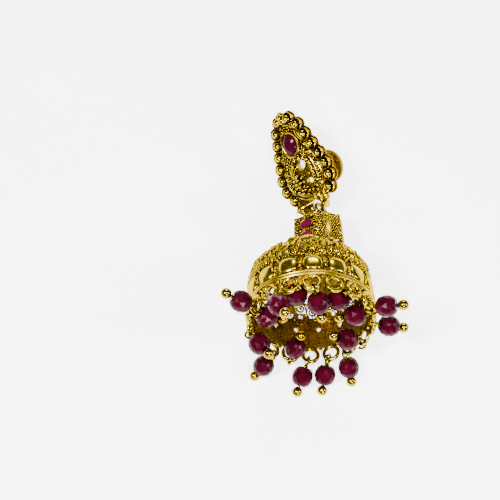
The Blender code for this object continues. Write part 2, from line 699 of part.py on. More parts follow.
def add_stud_ornament(trim, cutters, parent):
    top = STUD_THICKNESS
    wall = STONE_GAP + BEZEL_WALL
    turn = Matrix.Rotation(STUD_RUBY_TURN, 4, "Z")
    shape = (STUD_RUBY[0] + wall, STUD_RUBY[1] + wall, 1)
    bezel = cone_mesh("bezel", 1.0, 1.0, STUD_BEZEL_PROUD + SOLDER_BITE, 14, shape)
    make_tool("stud_bezel", bezel, trim, parent, raised(STUD_RUBY_AT, top - SOLDER_BITE) @ turn)
    pocket = (STUD_RUBY[0] + STONE_GAP, STUD_RUBY[1] + STONE_GAP, 1)
    cut = cone_mesh("pocket", 1.0, 1.0, 2 * STUD_BEZEL_PROUD, 14, pocket)
    make_tool("stud_pocket", cut, cutters, parent, raised(STUD_RUBY_AT, top) @ turn)

    arch = []
    for step in range(9):
        angle = math.pi * step / 8
        arch.append((ROPE_ARCH_AT[0] + ROPE_ARCH_RADIUS * math.cos(angle),
                     ROPE_ARCH_AT[1] + ROPE_ARCH_RADIUS * math.sin(angle), top))
    arch.insert(0, (arch[0][0], arch[0][1] - ROPE_ARCH_LEG, top))
    arch.append((arch[-1][0], arch[-1][1] - ROPE_ARCH_LEG, top))
    make_tool("rope_arch", tube_mesh("rope_arch", arch, ROPE_ARCH_WIRE, 1, trim), trim, parent, Matrix())

    leaf = cone_mesh("leaf", 1.0, 0.25, LEAF_SIZE[2], 4, (LEAF_SIZE[0], LEAF_SIZE[1], 1))
    make_tool("leaf", leaf, trim, parent, raised(LEAF_AT, 0.45 * top) @ Matrix.Rotation(0.15, 4, "Z"))
    for name, place, size in (("curl", CURL_AT, CURL_SIZE), ("flower", FLOWER_AT, FLOWER_SIZE)):
        make_tool(name, ball_mesh(name, size, 8, 6), trim, parent, raised(place, 0.9 * top))

    bowl = Vector(BOWL_CENTRE)
    crest = Vector(TIP_CENTRE) + (Vector(TIP_CENTRE) - bowl).normalized() * (TIP_RADIUS + 1.2 * CREST_BALL)
    make_tool("crest", ball_mesh("crest", [CREST_BALL * 1.3] * 3, 8, 6), trim, parent, raised(crest, top))


def add_stud_gaps(cutters, parent):
    for number, gap in enumerate(STUD_GAPS):
        mesh = cone_mesh("stud_gap", 1.0, 1.0, 4 * STUD_THICKNESS, gap["sides"], (*gap["size"], 1))
        make_tool(f"stud_gap_{number}", mesh, cutters, parent, raised(gap["at"], -STUD_THICKNESS))


def nut_distance(stud_place):
    """How far behind the plate's back the nut's outer face is when the nut's edge rests on the table."""
    out = stud_place.col[2].xyz.normalized()
    seat = stud_place @ Vector((*POST_AT, 0.0))
    drop = NUT_RADIUS * math.sqrt(1.0 - out.z ** 2)
    return (seat.z - drop) / out.z


def make_bell(group, tools, gold, place, loop_turn):
    trim = make_collection("bell_trim")
    cutters = make_collection("bell_cutters")
    pockets = make_collection("crown_pockets")
    for each in (trim, cutters, pockets):
        bpy.context.scene.collection.children.unlink(each)
        tools.children.link(each)
    bell = turned_object("bell", bell_profile(), BELL_STEPS, group, gold, place)
    bell.matrix_local = Matrix.Rotation(math.pi / BELL_STEPS, 4, "Z")
    add_panel_gaps(cutters, place)
    add_band_holes(cutters, place)
    add_bosses(trim, place)
    add_ribs(trim, place)
    add_arches(trim, place)
    add_rim_rings(trim, place)
    add_crown(trim, place)
    add_crown_bezels(trim, pockets, place)
    add_top_loop(trim, place, loop_turn)
    add_boolean(bell, "DIFFERENCE", cutters)
    add_boolean(bell, "UNION", trim, "MANIFOLD")
    add_boolean(bell, "DIFFERENCE", pockets, "MANIFOLD")
    finish_round(bell)
    return bell


def make_stud(group, tools, gold, place, post_length):
    trim = make_collection("stud_trim")
    cutters = make_collection("stud_cutters")
    for each in (trim, cutters):
        bpy.context.scene.collection.children.unlink(each)
        tools.children.link(each)
    mesh = plate_mesh("stud", stud_outline(0.0), STUD_THICKNESS, tools)
    stud = make_object("stud", mesh, group, gold, place)
    add_stud_border(trim, place)
    add_stud_ornament(trim, cutters, place)
    add_stud_gaps(cutters, place)
    post = cone_mesh("post", POST_RADIUS, POST_RADIUS, post_length + SOLDER_BITE, POST_SIDES)
    make_tool("post", post, trim, place, raised(POST_AT, -post_length))
    ring = ring_mesh("hang_ring", HANG_RING_RADIUS, HANG_RING_WIRE, 12, 6)
    make_tool("hang_ring", ring, trim, place, Matrix.Translation((0, 0, STUD_THICKNESS / 2)))
    add_boolean(stud, "UNION", trim)
    add_boolean(stud, "DIFFERENCE", cutters)
    finish_round(stud)
    return stud


def make_nut(group, gold, post_place):
    """The nut's own frame has its outer face at z = 0 and the stud above it."""
    bore = (POST_RADIUS + NUT_GAP) / math.cos(math.pi / POST_SIDES)
    profile = [
        (bore, NUT_THICKNESS + BARREL_LENGTH),
        (BARREL_RADIUS, NUT_THICKNESS + BARREL_LENGTH),
        (BARREL_RADIUS, NUT_THICKNESS),
        (NUT_RADIUS, NUT_THICKNESS),
        (NUT_RADIUS, 0.0),
        (bore, 0.0),
    ]
    nut = turned_object("screw_nut", profile, NUT_TEETH, group, gold, post_place)
    finish_round(nut)
    return nut


def pin_mesh(group, tools):
    """Stem, ball and eye soldered into one: the eye's middle is the origin and the ball hangs below."""
    bead_middle = -(EYE_RADIUS + EYE_STEM + BEAD_HALF_LENGTH)
    ball_middle = bead_middle - BEAD_HALF_LENGTH - STONE_GAP - PIN_BALL * 0.95
    trim = make_collection("pin_trim")
    bpy.context.scene.collection.children.unlink(trim)
    tools.children.link(trim)
    stem_length = -ball_middle - EYE_RADIUS
    stem = cone_mesh("stem", PIN_WIRE, PIN_WIRE, stem_length, 5)
    pin = make_object("pin_draft", stem, tools)
    pin.matrix_world = Matrix.Translation((0, 0, ball_middle))
    eye = ring_mesh("eye", EYE_RADIUS, PIN_WIRE, 10, 5)
    lay = Matrix.Rotation(math.pi / 2, 4, "X") @ Matrix.Rotation(math.radians(9.0), 4, "Z")
    make_tool("eye", eye, trim, None, lay)
    make_tool("pin_ball", ball_mesh("pin_ball", [PIN_BALL] * 3, 10, 4), trim, None,
              Matrix.Translation((0, 0, ball_middle)))
    add_boolean(pin, "UNION", trim)
    bpy.context.view_layer.update()
    evaluated = pin.evaluated_get(bpy.context.evaluated_depsgraph_get())
    mesh = bpy.data.meshes.new_from_object(evaluated)
    mesh.transform(pin.matrix_world)
    mesh.name = "head_pin"
    shade_round(mesh, WIRE_SHADING)
    for thing in [*trim.objects, pin]:
        bpy.data.objects.remove(thing, do_unlink=True)
    return mesh, bead_middle


def bead_profile():
    """A faceted round bead with a hole through it, as radius and height from the hole's middle."""
    bore = (PIN_WIRE + BORE_GAP) / math.cos(math.pi / BEAD_SIDES)
    outer = [
        (bore, BEAD_HALF_LENGTH),
        (BEAD_END_RADIUS, BEAD_HALF_LENGTH),
        (BEAD_RADIUS, BEAD_GIRDLE * BEAD_HALF_LENGTH),
    ]
    return outer + [(radius, -height) for radius, height in reversed(outer)]


def drop_frame(bell_place, drop, out):
    """A drop's eye in the world: its Z axis runs back up the pin and its Y axis along the ring's wire."""
    side = math.radians(drop["side"])
    lean = math.radians(out)
    flat = Vector((math.sin(side), 0.0, -math.cos(side)))
    wire = Vector((math.cos(side), 0.0, math.sin(side)))
    pin = flat * math.cos(lean) + Vector((0.0, math.sin(lean), 0.0))
    frame = Matrix((wire.cross(-pin), wire, -pin)).transposed().to_4x4()
    return bell_place @ ring_frame(drop["ring"]) @ Matrix.Translation(flat * RING_RADIUS) @ frame


def bead_bottom(frame, bead_middle):
    """The height of the lowest point of the bead and of the pin's ball."""
    middle = frame @ Vector((0, 0, bead_middle))
    ball = frame @ Vector((0, 0, bead_middle - BEAD_HALF_LENGTH - STONE_GAP - PIN_BALL * 0.95))
    reach = math.hypot(BEAD_RADIUS, BEAD_GIRDLE * BEAD_HALF_LENGTH)
    return min(middle.z - reach, ball.z - PIN_BALL)


def resting_lean(bell_place, drop, bead_middle):
    """The outward lean at which a drop near the table just lies on it."""
    low, high = -60.0, 90.0
    for _ in range(40):
        middle = (low + high) / 2
        if bead_bottom(drop_frame(bell_place, drop, middle), bead_middle) > 0.0:
            low = middle
        else:
            high = middle
    return low


def add_drops(group, tools, gold, glass, bell_place):
    pin, bead_middle = pin_mesh(group, tools)
    for number, drop in enumerate(DROPS, 1):
        out = drop.get("out")
        if out is None:
            out = resting_lean(bell_place, drop, bead_middle)
        frame = drop_frame(bell_place, drop, out)
        make_object(f"head_pin_{number:02d}", pin.copy(), group, gold).matrix_world = frame
        bead = turned_object(f"bead_{number:02d}", bead_profile(), BEAD_SIDES, group, glass, None)
        bead.matrix_world = frame @ Matrix.Translation((0, 0, bead_middle))


def settle(group):
    """Put the whole earring's lowest point on the table and its middle, seen from above, on the origin."""
    bpy.context.view_layer.update()
    graph = bpy.context.evaluated_depsgraph_get()
    low = Vector((math.inf,) * 3)
    high = -low
    for thing in group.objects:
        if thing.type != "MESH":
            continue
        shape = thing.evaluated_get(graph)
        mesh = shape.to_mesh()
        for vert in mesh.vertices:
            place = thing.matrix_world @ vert.co
            low = Vector(map(min, low, place))
            high = Vector(map(max, high, place))
        shape.to_mesh_clear()
    shift = Vector((-(low.x + high.x) / 2, -(low.y + high.y) / 2, -low.z))
    for thing in group.objects:
        if thing.parent is None:
            thing.location += shift


def main():
    clear_scene()
    parts = make_collection("jhumka_earring")
    tools = make_collection("jhumka_tools")
    gold = make_material("gold", GOLD)
    glass = make_material("ruby_glass", RUBY_GLASS)

    tip = Matrix.Rotation(BELL_HEADING, 4, "Z") @ Matrix.Rotation(-math.pi / 2 - BELL_DIP, 4, "X")
    bell_place = Matrix.Translation((0, 0, bell_lowest())) @ tip
    turn = (Matrix.Rotation(STUD_HEADING, 4, "Z") @ Matrix.Rotation(STUD_PITCH, 4, "X")
            @ Matrix.Rotation(-STUD_ROLL, 4, "Y"))
    loop_turn, loop_angle = link_turn(bell_place, turn)
    on_loop = Vector((LINK_RADIUS * math.sin(loop_angle), LINK_RADIUS * math.cos(loop_angle), 0))
    meeting = bell_place @ loop_place(loop_turn) @ on_loop
    stud_place = Matrix.Translation(meeting) @ turn @ Matrix.Translation((0, 0, -STUD_THICKNESS / 2))

    bell_stand = make_empty("bell_stand", parts, bell_place)
    stud_stand = make_empty("stud_stand", parts, stud_place)
    away = nut_distance(stud_place)
    nut_stand = make_empty("nut_stand", parts, stud_place @ raised(POST_AT, -away))

    make_bell(parts, tools, gold, bell_stand, loop_turn)
    add_crown_rubies(parts, glass, bell_stand)
    make_stud(parts, tools, gold, stud_stand, away - POST_INSET)
    ruby = stone_mesh("stud_ruby", STUD_RUBY, STUD_RUBY_HEIGHT, 14)
    stone = make_object("stud_ruby", ruby, parts, glass, stud_stand)
    seat = STUD_THICKNESS + STONE_GAP
    stone.matrix_local = raised(STUD_RUBY_AT, seat) @ Matrix.Rotation(STUD_RUBY_TURN, 4, "Z")
    make_nut(parts, gold, nut_stand)
    add_drops(parts, tools, gold, glass, bell_place)
    settle(parts)


main()
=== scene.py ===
"""Looks of a gold-coloured jhumka earring that lies on a pale table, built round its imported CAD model.

The earring's own sizes are in millimetres, in the frames of its bell and its stud. Each finished piece is
put in its place and brought to metres last.
"""

import math

import bmesh
import bpy
from mathutils import Matrix, Vector


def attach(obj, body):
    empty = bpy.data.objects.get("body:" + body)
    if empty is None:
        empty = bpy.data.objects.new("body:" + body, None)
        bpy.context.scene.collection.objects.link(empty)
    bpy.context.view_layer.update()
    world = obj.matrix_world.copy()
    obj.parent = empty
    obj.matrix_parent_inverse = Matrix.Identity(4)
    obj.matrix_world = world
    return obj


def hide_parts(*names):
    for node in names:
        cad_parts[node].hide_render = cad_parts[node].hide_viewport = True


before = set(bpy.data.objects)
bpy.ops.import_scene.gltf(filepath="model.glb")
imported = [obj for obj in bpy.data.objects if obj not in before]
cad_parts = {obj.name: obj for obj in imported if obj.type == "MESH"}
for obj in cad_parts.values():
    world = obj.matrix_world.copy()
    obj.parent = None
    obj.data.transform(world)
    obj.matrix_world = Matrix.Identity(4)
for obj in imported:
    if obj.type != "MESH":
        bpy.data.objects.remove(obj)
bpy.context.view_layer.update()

FULL_TURN = 2.0 * math.pi
TO_METRES = Matrix.Diagonal((0.001, 0.001, 0.001, 1.0))


def turn(degrees, axis):
    return Matrix.Rotation(math.radians(degrees), 4, axis)


def move(x=0.0, y=0.0, z=0.0):
    return Matrix.Translation((x, y, z))


def stretch(x, y, z):
    return Matrix.Diagonal((x, y, z, 1.0))


def sized(size):
    return stretch(size, size, size)


def axes(x, y, z):
    """The turn that brings the three axes to the ways given."""
    return Matrix((x, y, z)).transposed().to_4x4()


# How the bell, the stud and the nut lie
BELL_PLACE = move(-0.9130, -14.7878, 13.0766) @ turn(0.5, "Z") @ turn(-107.5, "X")
STUD_TURN = turn(23.4, "Z") @ turn(19.8, "X") @ turn(-46.6, "Y")
STUD_PLACE = move(1.7118, 10.9104, 5.1939) @ STUD_TURN
NUT_PLACE = move(4.2756, 20.6531, 2.6703) @ STUD_TURN

def linked(name, data):
    """A new object that is in the scene."""
    thing = bpy.data.objects.new(name, data)
    bpy.context.scene.collection.objects.link(thing)
    return thing


# Camera: focal length and the rim's middle in the photograph's pixels, and the reach to the rim in metres
PICTURE = 500.0
FOCAL = 1053.0
RIM_PIXEL = (310.6, 312.6)
CAMERA_PITCH = 68.0
CAMERA_REACH = 0.195

# The distance within which corners are welded
WELD = 0.0005

# Bell
RIM_RADIUS = 11.7
RIM_WIRE = 0.35
WALL = 0.4
BAND_TOP = 5.2
BAND_TAPER = 0.3
DOME_BASE = 6.4
DOME_HEIGHT = 5.5
DOME_TOP = DOME_BASE + DOME_HEIGHT
DOME_FULLNESS = 1.6
DOME_SHOULDER = 0.45
DOME_RADIUS = RIM_RADIUS - BAND_TAPER
COLLAR_RADIUS = 5.3
COLLAR_TOP = 14.0
COLLAR_NECK = 4.6
NECK_BASE = 15.0
PANELS = 8
BOSSES = 16
RINGS = 18
RING_START = -152.0
RING_RADIUS = 1.4
RING_LEVEL = -1.8

# Crown
CROWN_SHIFT = 2.4
CROWN_TURN = -8.0
CROWN_LID = 22.2
CROWN_BASE = (5.2, 3.3)
CROWN_TOP = (4.9, 3.0)
RUBY_FACES = (4, 1)
RUBY_LEVELS = (0.27, 0.68)
LOOP_LEVEL = 25.6
LOOP_TURN = 38.9

# Drops
PIN_WIRE = 0.25
PIN_BALL = 1.0
EYE_RADIUS = 0.85
BEAD_RADIUS = 2.05
BEAD_HALF = 1.85
BEAD_MIDDLE = -(EYE_RADIUS + 0.45 + BEAD_HALF)
BALL_MIDDLE = BEAD_MIDDLE - BEAD_HALF - 0.25 - 0.95 * PIN_BALL
# Each drop: its rim ring, its eye's place round that ring and its lean out of the ring's plane, in degrees
DROPS = (
    (0, 0.0, 105.0), (1, -30.0, 5.0), (2, -65.0, -110.0), (3, -25.0, -65.0),
    (5, 55.0, -100.0), (6, -45.0, 75.0), (7, 50.0, -90.0), (8, 65.0, 105.0),
    (9, -40.0, -90.0), (10, -42.0, 49.607), (11, -30.0, 32.770), (12, -25.0, 31.612),
    (13, -5.0, -105.0), (14, 10.0, 75.958), (16, -5.0, -35.0), (17, -60.0, -95.0),
)

# Stud
PLATE = 1.2
BOWL = Vector((0.1, 5.9))
BOWL_RADIUS = 4.8
TIP = Vector((0.1, 15.7))
TIP_RADIUS = 1.9
CUPS = 16
ARCH_AT = (0.4, 7.9)
STONE_AT = (0.2, 13.1)
STONE_TURN = -8.0
STONE_PLACE = move(*STONE_AT, PLATE) @ turn(STONE_TURN, "Z")
LEAF_MIDDLE = (-2.9, 0.9)
POST_AT = (0.6, 6.6)
POST_RADIUS = 0.5
POST_LENGTH = 7.7
THREAD_PITCH = 0.35
THREAD_STEPS = 16
NUT_EDGE = 3.42

# Holes through the stud's plate: place, half width and half length, sides
STUD_HOLES = (
    ((0.4, 8.6), (1.0, 0.95), 20), ((1.0, 5.0), (0.8, 0.6), 16),
    ((3.1, 10.3), (0.5, 0.5), 12), ((-2.8, 9.2), (0.5, 0.5), 12),
)

# Granules spread over the stud's plate: place and radius
STUD_GRAINS = (
    (0.1, 4.0, 0.34), (1.9, 3.9, 0.30), (2.6, 5.6, 0.32), (-0.3, 2.6, 0.32), (1.0, 2.2, 0.30),
    (0.1, 6.3, 0.34), (1.6, 6.4, 0.30), (-1.0, 8.3, 0.28), (1.8, 8.6, 0.28), (0.4, 10.6, 0.28),
    (2.3, 2.7, 0.46), (0.4, 3.2, 0.40), (1.3, 3.1, 0.42), (-0.6, 3.6, 0.38), (3.2, 4.6, 0.36),
    (3.6, 5.6, 0.34), (-1.3, 3.0, 0.42), (2.2, 4.4, 0.34), (-3.4, 4.2, 0.40), (-3.9, 5.4, 0.36),
)


def place_camera():
    """The camera looks down from in front, with the bell's mouth where the photograph has it."""
    pitch = math.radians(CAMERA_PITCH)
    middle = (RIM_PIXEL[0] - PICTURE / 2, PICTURE / 2 - RIM_PIXEL[1])
    right = Vector((1.0, 0.0, 0.0))
    up = Vector((0.0, math.sin(pitch), math.cos(pitch)))
    back = right.cross(up)
    rim = TO_METRES @ BELL_PLACE.translation
    eye = rim + back * CAMERA_REACH - (right * middle[0] + up * middle[1]) / FOCAL * CAMERA_REACH
    lens = bpy.data.cameras.new("camera")
    lens.sensor_width = 36.0
    lens.lens = lens.sensor_width * FOCAL / PICTURE
    lens.clip_start = 0.01
    camera = linked("camera", lens)
    camera.matrix_world = move(*eye) @ axes(right, up, back)
    bpy.context.scene.camera = camera


def add_lamp(name, place, size, power):
    lamp = bpy.data.lights.new(name, "AREA")
    lamp.shape = "RECTANGLE"
    lamp.size, lamp.size_y = size
    lamp.energy = power
    thing = linked(name, lamp)
    here = Vector(place)
    thing.matrix_world = move(*here) @ here.to_track_quat("Z", "Y").to_matrix().to_4x4()


def light_studio():
    world = bpy.data.worlds.new("studio")
    world.use_nodes = True
    glow = world.node_tree.nodes["Background"]
    glow.inputs["Color"].default_value = (1.0, 0.98, 0.95, 1.0)
    glow.inputs["Strength"].default_value = 0.16
    bpy.context.scene.world = world
    add_lamp("key", (-0.20, -0.10, 0.40), (0.10, 0.07), 4.8)
    add_lamp("fill", (0.34, -0.06, 0.26), (0.04, 0.14), 1.3)
    add_lamp("back", (0.04, 0.36, 0.22), (0.18, 0.05), 1.6)
    add_lamp("front", (0.06, -0.30, 0.24), (0.12, 0.05), 2.2)
    add_lamp("top", (0.05, -0.05, 0.50), (0.06, 0.06), 2.0)


def new_material(name):
    material = bpy.data.materials.new(name)
    material.use_nodes = True
    nodes = material.node_tree.nodes
    return material, nodes, material.node_tree.links, nodes["Principled BSDF"]


def noise(nodes, links, scale, detail=4.0):
    where = nodes.new("ShaderNodeTexCoord")
    grain = nodes.new("ShaderNodeTexNoise")
    grain.inputs["Scale"].default_value = scale
    grain.inputs["Detail"].default_value = detail
    grain.inputs["Roughness"].default_value = 0.55
    links.new(where.outputs["Object"], grain.inputs["Vector"])
    return grain.outputs["Fac"]


def ramp(nodes, links, source, stops):
    shade = nodes.new("ShaderNodeValToRGB")
    band = shade.color_ramp
    band.elements[0].position, band.elements[0].color = stops[0][0], (*stops[0][1], 1.0)
    band.elements[1].position, band.elements[1].color = stops[-1][0], (*stops[-1][1], 1.0)
    for place, colour in stops[1:-1]:
        band.elements.new(place).color = (*colour, 1.0)
    links.new(source, shade.inputs["Fac"])
    return shade.outputs["Color"]


def spread(nodes, links, source, low, high):
    """The middle range of a noise, spread from a low to a high value."""
    span = nodes.new("ShaderNodeMapRange")
    for name, value in (("From Min", 0.3), ("From Max", 0.7), ("To Min", low), ("To Max", high)):
        span.inputs[name].default_value = value
    links.new(source, span.inputs["Value"])
    return span.outputs["Result"]


def gold_finish(name, bright, deep, shade_tint, roughness, grain, recess=0.7):
    """Plated gold: its tone wanders, painted shade darkens its hollows, and a fine cast grain breaks its
    shine.
    """
    material, nodes, links, shader = new_material(name)
    tone = ramp(nodes, links, noise(nodes, links, 420.0), ((0.35, deep), (0.62, bright)))
    # Painted shade: an ambient occlusion mask darkens the gold in its hollows towards a brown shade colour
    shade = nodes.new("ShaderNodeAmbientOcclusion")
    shade.samples = 8
    shade.inputs["Distance"].default_value = recess * 0.001
    painted_shade = ramp(nodes, links, shade.outputs["AO"], ((0.30, shade_tint), (0.72, (1.0, 1.0, 1.0))))
    mix = nodes.new("ShaderNodeMix")
    mix.data_type = "RGBA"
    mix.blend_type = "MULTIPLY"
    mix.inputs["Factor"].default_value = 1.0
    links.new(tone, mix.inputs["A"])
    links.new(painted_shade, mix.inputs["B"])
    links.new(mix.outputs["Result"], shader.inputs["Base Color"])
    links.new(spread(nodes, links, noise(nodes, links, 900.0), *roughness), shader.inputs["Roughness"])
    bump = nodes.new("ShaderNodeBump")
    bump.inputs["Strength"].default_value = grain
    bump.inputs["Distance"].default_value = 0.00006
    links.new(noise(nodes, links, 2600.0, 3.0), bump.inputs["Height"])
    links.new(bump.outputs["Normal"], shader.inputs["Normal"])
    shader.inputs["Metallic"].default_value = 1.0
    shader.inputs["Specular Tint"].default_value = (0.85, 0.62, 0.14, 1.0)
    return material


def ruby_finish(name, bright, deep, clear, roughness):
    """Ruby-coloured glass with cloudy streaks inside and fine scuffs on its facets."""
    material, nodes, links, shader = new_material(name)
    tone = ramp(nodes, links, noise(nodes, links, 380.0, 3.0), ((0.32, deep), (0.66, bright)))
    links.new(tone, shader.inputs["Base Color"])
    links.new(spread(nodes, links, noise(nodes, links, 1500.0), *roughness), shader.inputs["Roughness"])
    shader.inputs["Transmission Weight"].default_value = clear
    shader.inputs["IOR"].default_value = 1.35
    shader.inputs["Specular IOR Level"].default_value = 0.09
    shader.inputs["Specular Tint"].default_value = (1.0, 0.62, 0.74, 1.0)
    return material


def table_finish():
    """A plain pale table, lit a little from within."""
    material, nodes, links, shader = new_material("table_white")
    stops = ((0.3, (0.93, 0.93, 0.93)), (0.7, (0.96, 0.96, 0.955)))
    tone = ramp(nodes, links, noise(nodes, links, 40.0), stops)
    links.new(tone, shader.inputs["Base Color"])
    shader.inputs["Roughness"].default_value = 0.7
    links.new(tone, shader.inputs["Emission Color"])
    shader.inputs["Emission Strength"].default_value = 3.0
    return material


# Gold: bright tone, deep tone, colour of the painted shade in the hollows, least and most roughness, grain,
# and the size of the hollows that painted shade fills, in mm
POLISHED = gold_finish("gold_polished", (0.30, 0.220, 0.009), (0.20, 0.142, 0.005), (0.24, 0.11, 0.008),
                       (0.10, 0.20), 0.06)
CAST = gold_finish("gold_cast", (0.26, 0.176, 0.0045), (0.165, 0.106, 0.0025), (0.26, 0.11, 0.006),
                   (0.17, 0.30), 0.24)
WIRE = gold_finish("gold_wire", (0.30, 0.213, 0.007), (0.20, 0.132, 0.003), (0.26, 0.11, 0.006),
                   (0.12, 0.24), 0.10, 0.5)
# The satin gold of the bell shell is rougher than the polished gold, and its lighter tones are painted light
SATIN_PAINTED_LIT = gold_finish("gold_satin_painted_lit", (0.35, 0.238, 0.007), (0.235, 0.148, 0.0035), (0.30, 0.13, 0.008),
                    (0.22, 0.36), 0.16)
# The gold of the bosses, rim rings, hood and leaf is rougher than the polished gold, and its lighter tones
# are painted light
PAINTED_LIT_GOLD = gold_finish("gold_painted_lit", (0.37, 0.270, 0.010), (0.28, 0.197, 0.006), (0.26, 0.13, 0.01),
                     (0.15, 0.27), 0.08)
# Ruby glass: bright tone, deep tone, how clear it is, least and most roughness
BEAD_GLASS = ruby_finish("ruby_bead", (0.036, 0.0007, 0.0058), (0.013, 0.0004, 0.0023), 0.04, (0.10, 0.22))
STONE_GLASS = ruby_finish("ruby_stone", (0.030, 0.0008, 0.008), (0.012, 0.0004, 0.003), 0.06, (0.06, 0.12))
PINK_GLASS = ruby_finish("ruby_small_stone", (0.10, 0.002, 0.028), (0.05, 0.001, 0.014), 0.10, (0.06, 0.12))


def as_mesh(name, bm):
    bmesh.ops.recalc_face_normals(bm, faces=bm.faces)
    mesh = bpy.data.meshes.new(name)
    bm.to_mesh(mesh)
    bm.free()
    return mesh


def ball(around=8, rows=5, radius=1.0):
    bm = bmesh.new()
    bmesh.ops.create_uvsphere(bm, u_segments=around, v_segments=rows, radius=radius)
    return as_mesh("ball", bm)


def turned(profile, steps, closed=False):
    """A profile of radius and height pairs spun round Z."""
    bm = bmesh.new()
    knots = [bm.verts.new((radius, 0.0, height)) for radius, height in profile]
    edges = [bm.edges.new(pair) for pair in zip(knots, knots[1:])]
    if closed:
        edges.append(bm.edges.new((knots[-1], knots[0])))
    bmesh.ops.spin(bm, geom=knots + edges, cent=(0, 0, 0), axis=(0, 0, 1), angle=FULL_TURN, steps=steps,
                   use_merge=True)
    bmesh.ops.remove_doubles(bm, verts=bm.verts, dist=WELD)
    return as_mesh("turned", bm)


def wire_ring(radius, wire, around=28, sides=8):
    bm = bmesh.new()
    made = bmesh.ops.create_circle(bm, segments=sides, radius=wire, matrix=move(radius) @ turn(90, "X"))
    edges = list({edge for vert in made["verts"] for edge in vert.link_edges})
    bmesh.ops.spin(bm, geom=edges, cent=(0, 0, 0), axis=(0, 0, 1), angle=FULL_TURN, steps=around,
                   use_merge=True)
    bmesh.ops.remove_doubles(bm, verts=bm.verts, dist=WELD)
    return as_mesh("ring", bm)


def prism(low, high, depth, sides, scale=(1, 1, 1)):
    """A cone or prism that stands on z = 0."""
    bm = bmesh.new()
    bmesh.ops.create_cone(bm, cap_ends=True, segments=sides, radius1=low, radius2=high, depth=depth,
                          matrix=move(0, 0, depth / 2))
    bmesh.ops.scale(bm, vec=scale, verts=bm.verts)
    return as_mesh("prism", bm)


def welded(curve):
    """The mesh of a curve, with its double corners welded."""
    guide = linked("guide", curve)
    mesh = bpy.data.meshes.new_from_object(guide.evaluated_get(bpy.context.evaluated_depsgraph_get()))
    bpy.data.objects.remove(guide, do_unlink=True)
    bm = bmesh.new()
    bm.from_mesh(mesh)
    bpy.data.meshes.remove(mesh)
    bmesh.ops.remove_doubles(bm, verts=bm.verts, dist=WELD)
    return bm


def wires(paths, radius, closed=False, resolution=2):
    """Wires along paths, each with closed ends or joined up into a ring."""
    curve = bpy.data.curves.new("wires", "CURVE")
    curve.dimensions = "3D"
    curve.bevel_depth = radius
    curve.bevel_resolution = resolution
    curve.use_fill_caps = True
    for path in paths:
        spline = curve.splines.new("POLY")
        spline.points.add(len(path) - 1)
        for knot, point in zip(spline.points, path):
            knot.co = (*point, 1.0)
        spline.use_cyclic_u = closed
    return as_mesh("wires", welded(curve))


class Piece:
    """A piece that grows from small meshes set in place, in the millimetres of its own frame.

    What would reach below the table is worn flat on it.
    """

    def __init__(self, name):
        self.name = name
        self.bm = bmesh.new()

    def add(self, mesh, place=None):
        if place is None:
            self.bm.from_mesh(mesh)
            return
        copy = mesh.copy()
        copy.transform(place)
        self.bm.from_mesh(copy)
        bpy.data.meshes.remove(copy)

    def dots(self, mesh, points, size):
        """The same small mesh at many points."""
        for point in points:
            self.add(mesh, move(*point) @ sized(size))

    def finish(self, place, material, body="earring", replaces=(), angle=40.0):
        bmesh.ops.transform(self.bm, matrix=TO_METRES @ place, verts=self.bm.verts)
        for vert in self.bm.verts:
            vert.co.z = max(vert.co.z, 0.0)
        mesh = bpy.data.meshes.new(self.name)
        self.bm.to_mesh(mesh)
        self.bm.free()
        mesh.materials.clear()
        mesh.materials.append(material)
        mesh.shade_smooth()
        mesh.set_sharp_from_angle(angle=math.radians(angle))
        thing = linked(self.name, mesh)
        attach(thing, body)
        if replaces:
            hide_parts(*replaces)


def cut(mesh, cutters):
    """A mesh with every cutter taken out of it."""
    solid = linked("solid", mesh)
    tools = bmesh.new()
    for shape, place in cutters:
        copy = shape.copy()
        copy.transform(place)
        tools.from_mesh(copy)
        bpy.data.meshes.remove(copy)
    tool = linked("tool", as_mesh("tool", tools))
    step = solid.modifiers.new("cut", "BOOLEAN")
    step.operation = "DIFFERENCE"
    step.solver = "EXACT"
    step.use_self = True
    step.object = tool
    result = bpy.data.meshes.new_from_object(solid.evaluated_get(bpy.context.evaluated_depsgraph_get()))
    for each in (solid, tool):
        bpy.data.objects.remove(each, do_unlink=True)
    return result


def strands(path, outs, reach, pitch, count=2, closed=False):
    """The strands of a rope laid along a path, given the way out of the surface at each of its points."""
    if closed:
        path = path + [path[0]]
        outs = outs + [outs[0]]
    lengths = [0.0]
    for first, second in zip(path, path[1:]):
        lengths.append(lengths[-1] + (second - first).length)
    turns = lengths[-1] / pitch
    if closed:
        turns = round(turns)
    knots = max(8, round(turns * 8))
    made = [[] for _ in range(count)]
    index = 0
    for knot in range(knots if closed else knots + 1):
        along = lengths[-1] * knot / knots
        while index < len(path) - 2 and along > lengths[index + 1]:
            index += 1
        part = (along - lengths[index]) / (lengths[index + 1] - lengths[index])
        here = path[index].lerp(path[index + 1], part)
        out = outs[index].lerp(outs[index + 1], part).normalized()
        side = (path[index + 1] - path[index]).normalized().cross(out)
        for number, strand in enumerate(made):
            phase = FULL_TURN * (turns * knot / knots + number / count)
            strand.append(here + reach * (math.cos(phase) * out + math.sin(phase) * side))
    return made


def scroll(radius, core, turns, start, hand, steps=16):
    """A flat scroll that winds in from its outer end to its core, as points about its middle."""
    count = math.ceil(steps * turns)
    points = []
    for step in range(count + 1):
        angle = math.radians(start) + hand * FULL_TURN * turns * step / count
        reach = radius + (core - radius) * step / count
        points.append((reach * math.cos(angle), reach * math.sin(angle)))
    return points


def spaced(path, gap):
    """Points an even gap apart along a path."""
    points = [path[0]]
    wait = gap
    for first, second in zip(path, path[1:]):
        length = (second - first).length
        while length and wait <= length:
            points.append(first.lerp(second, wait / length))
            wait += gap
        wait -= length
    return points


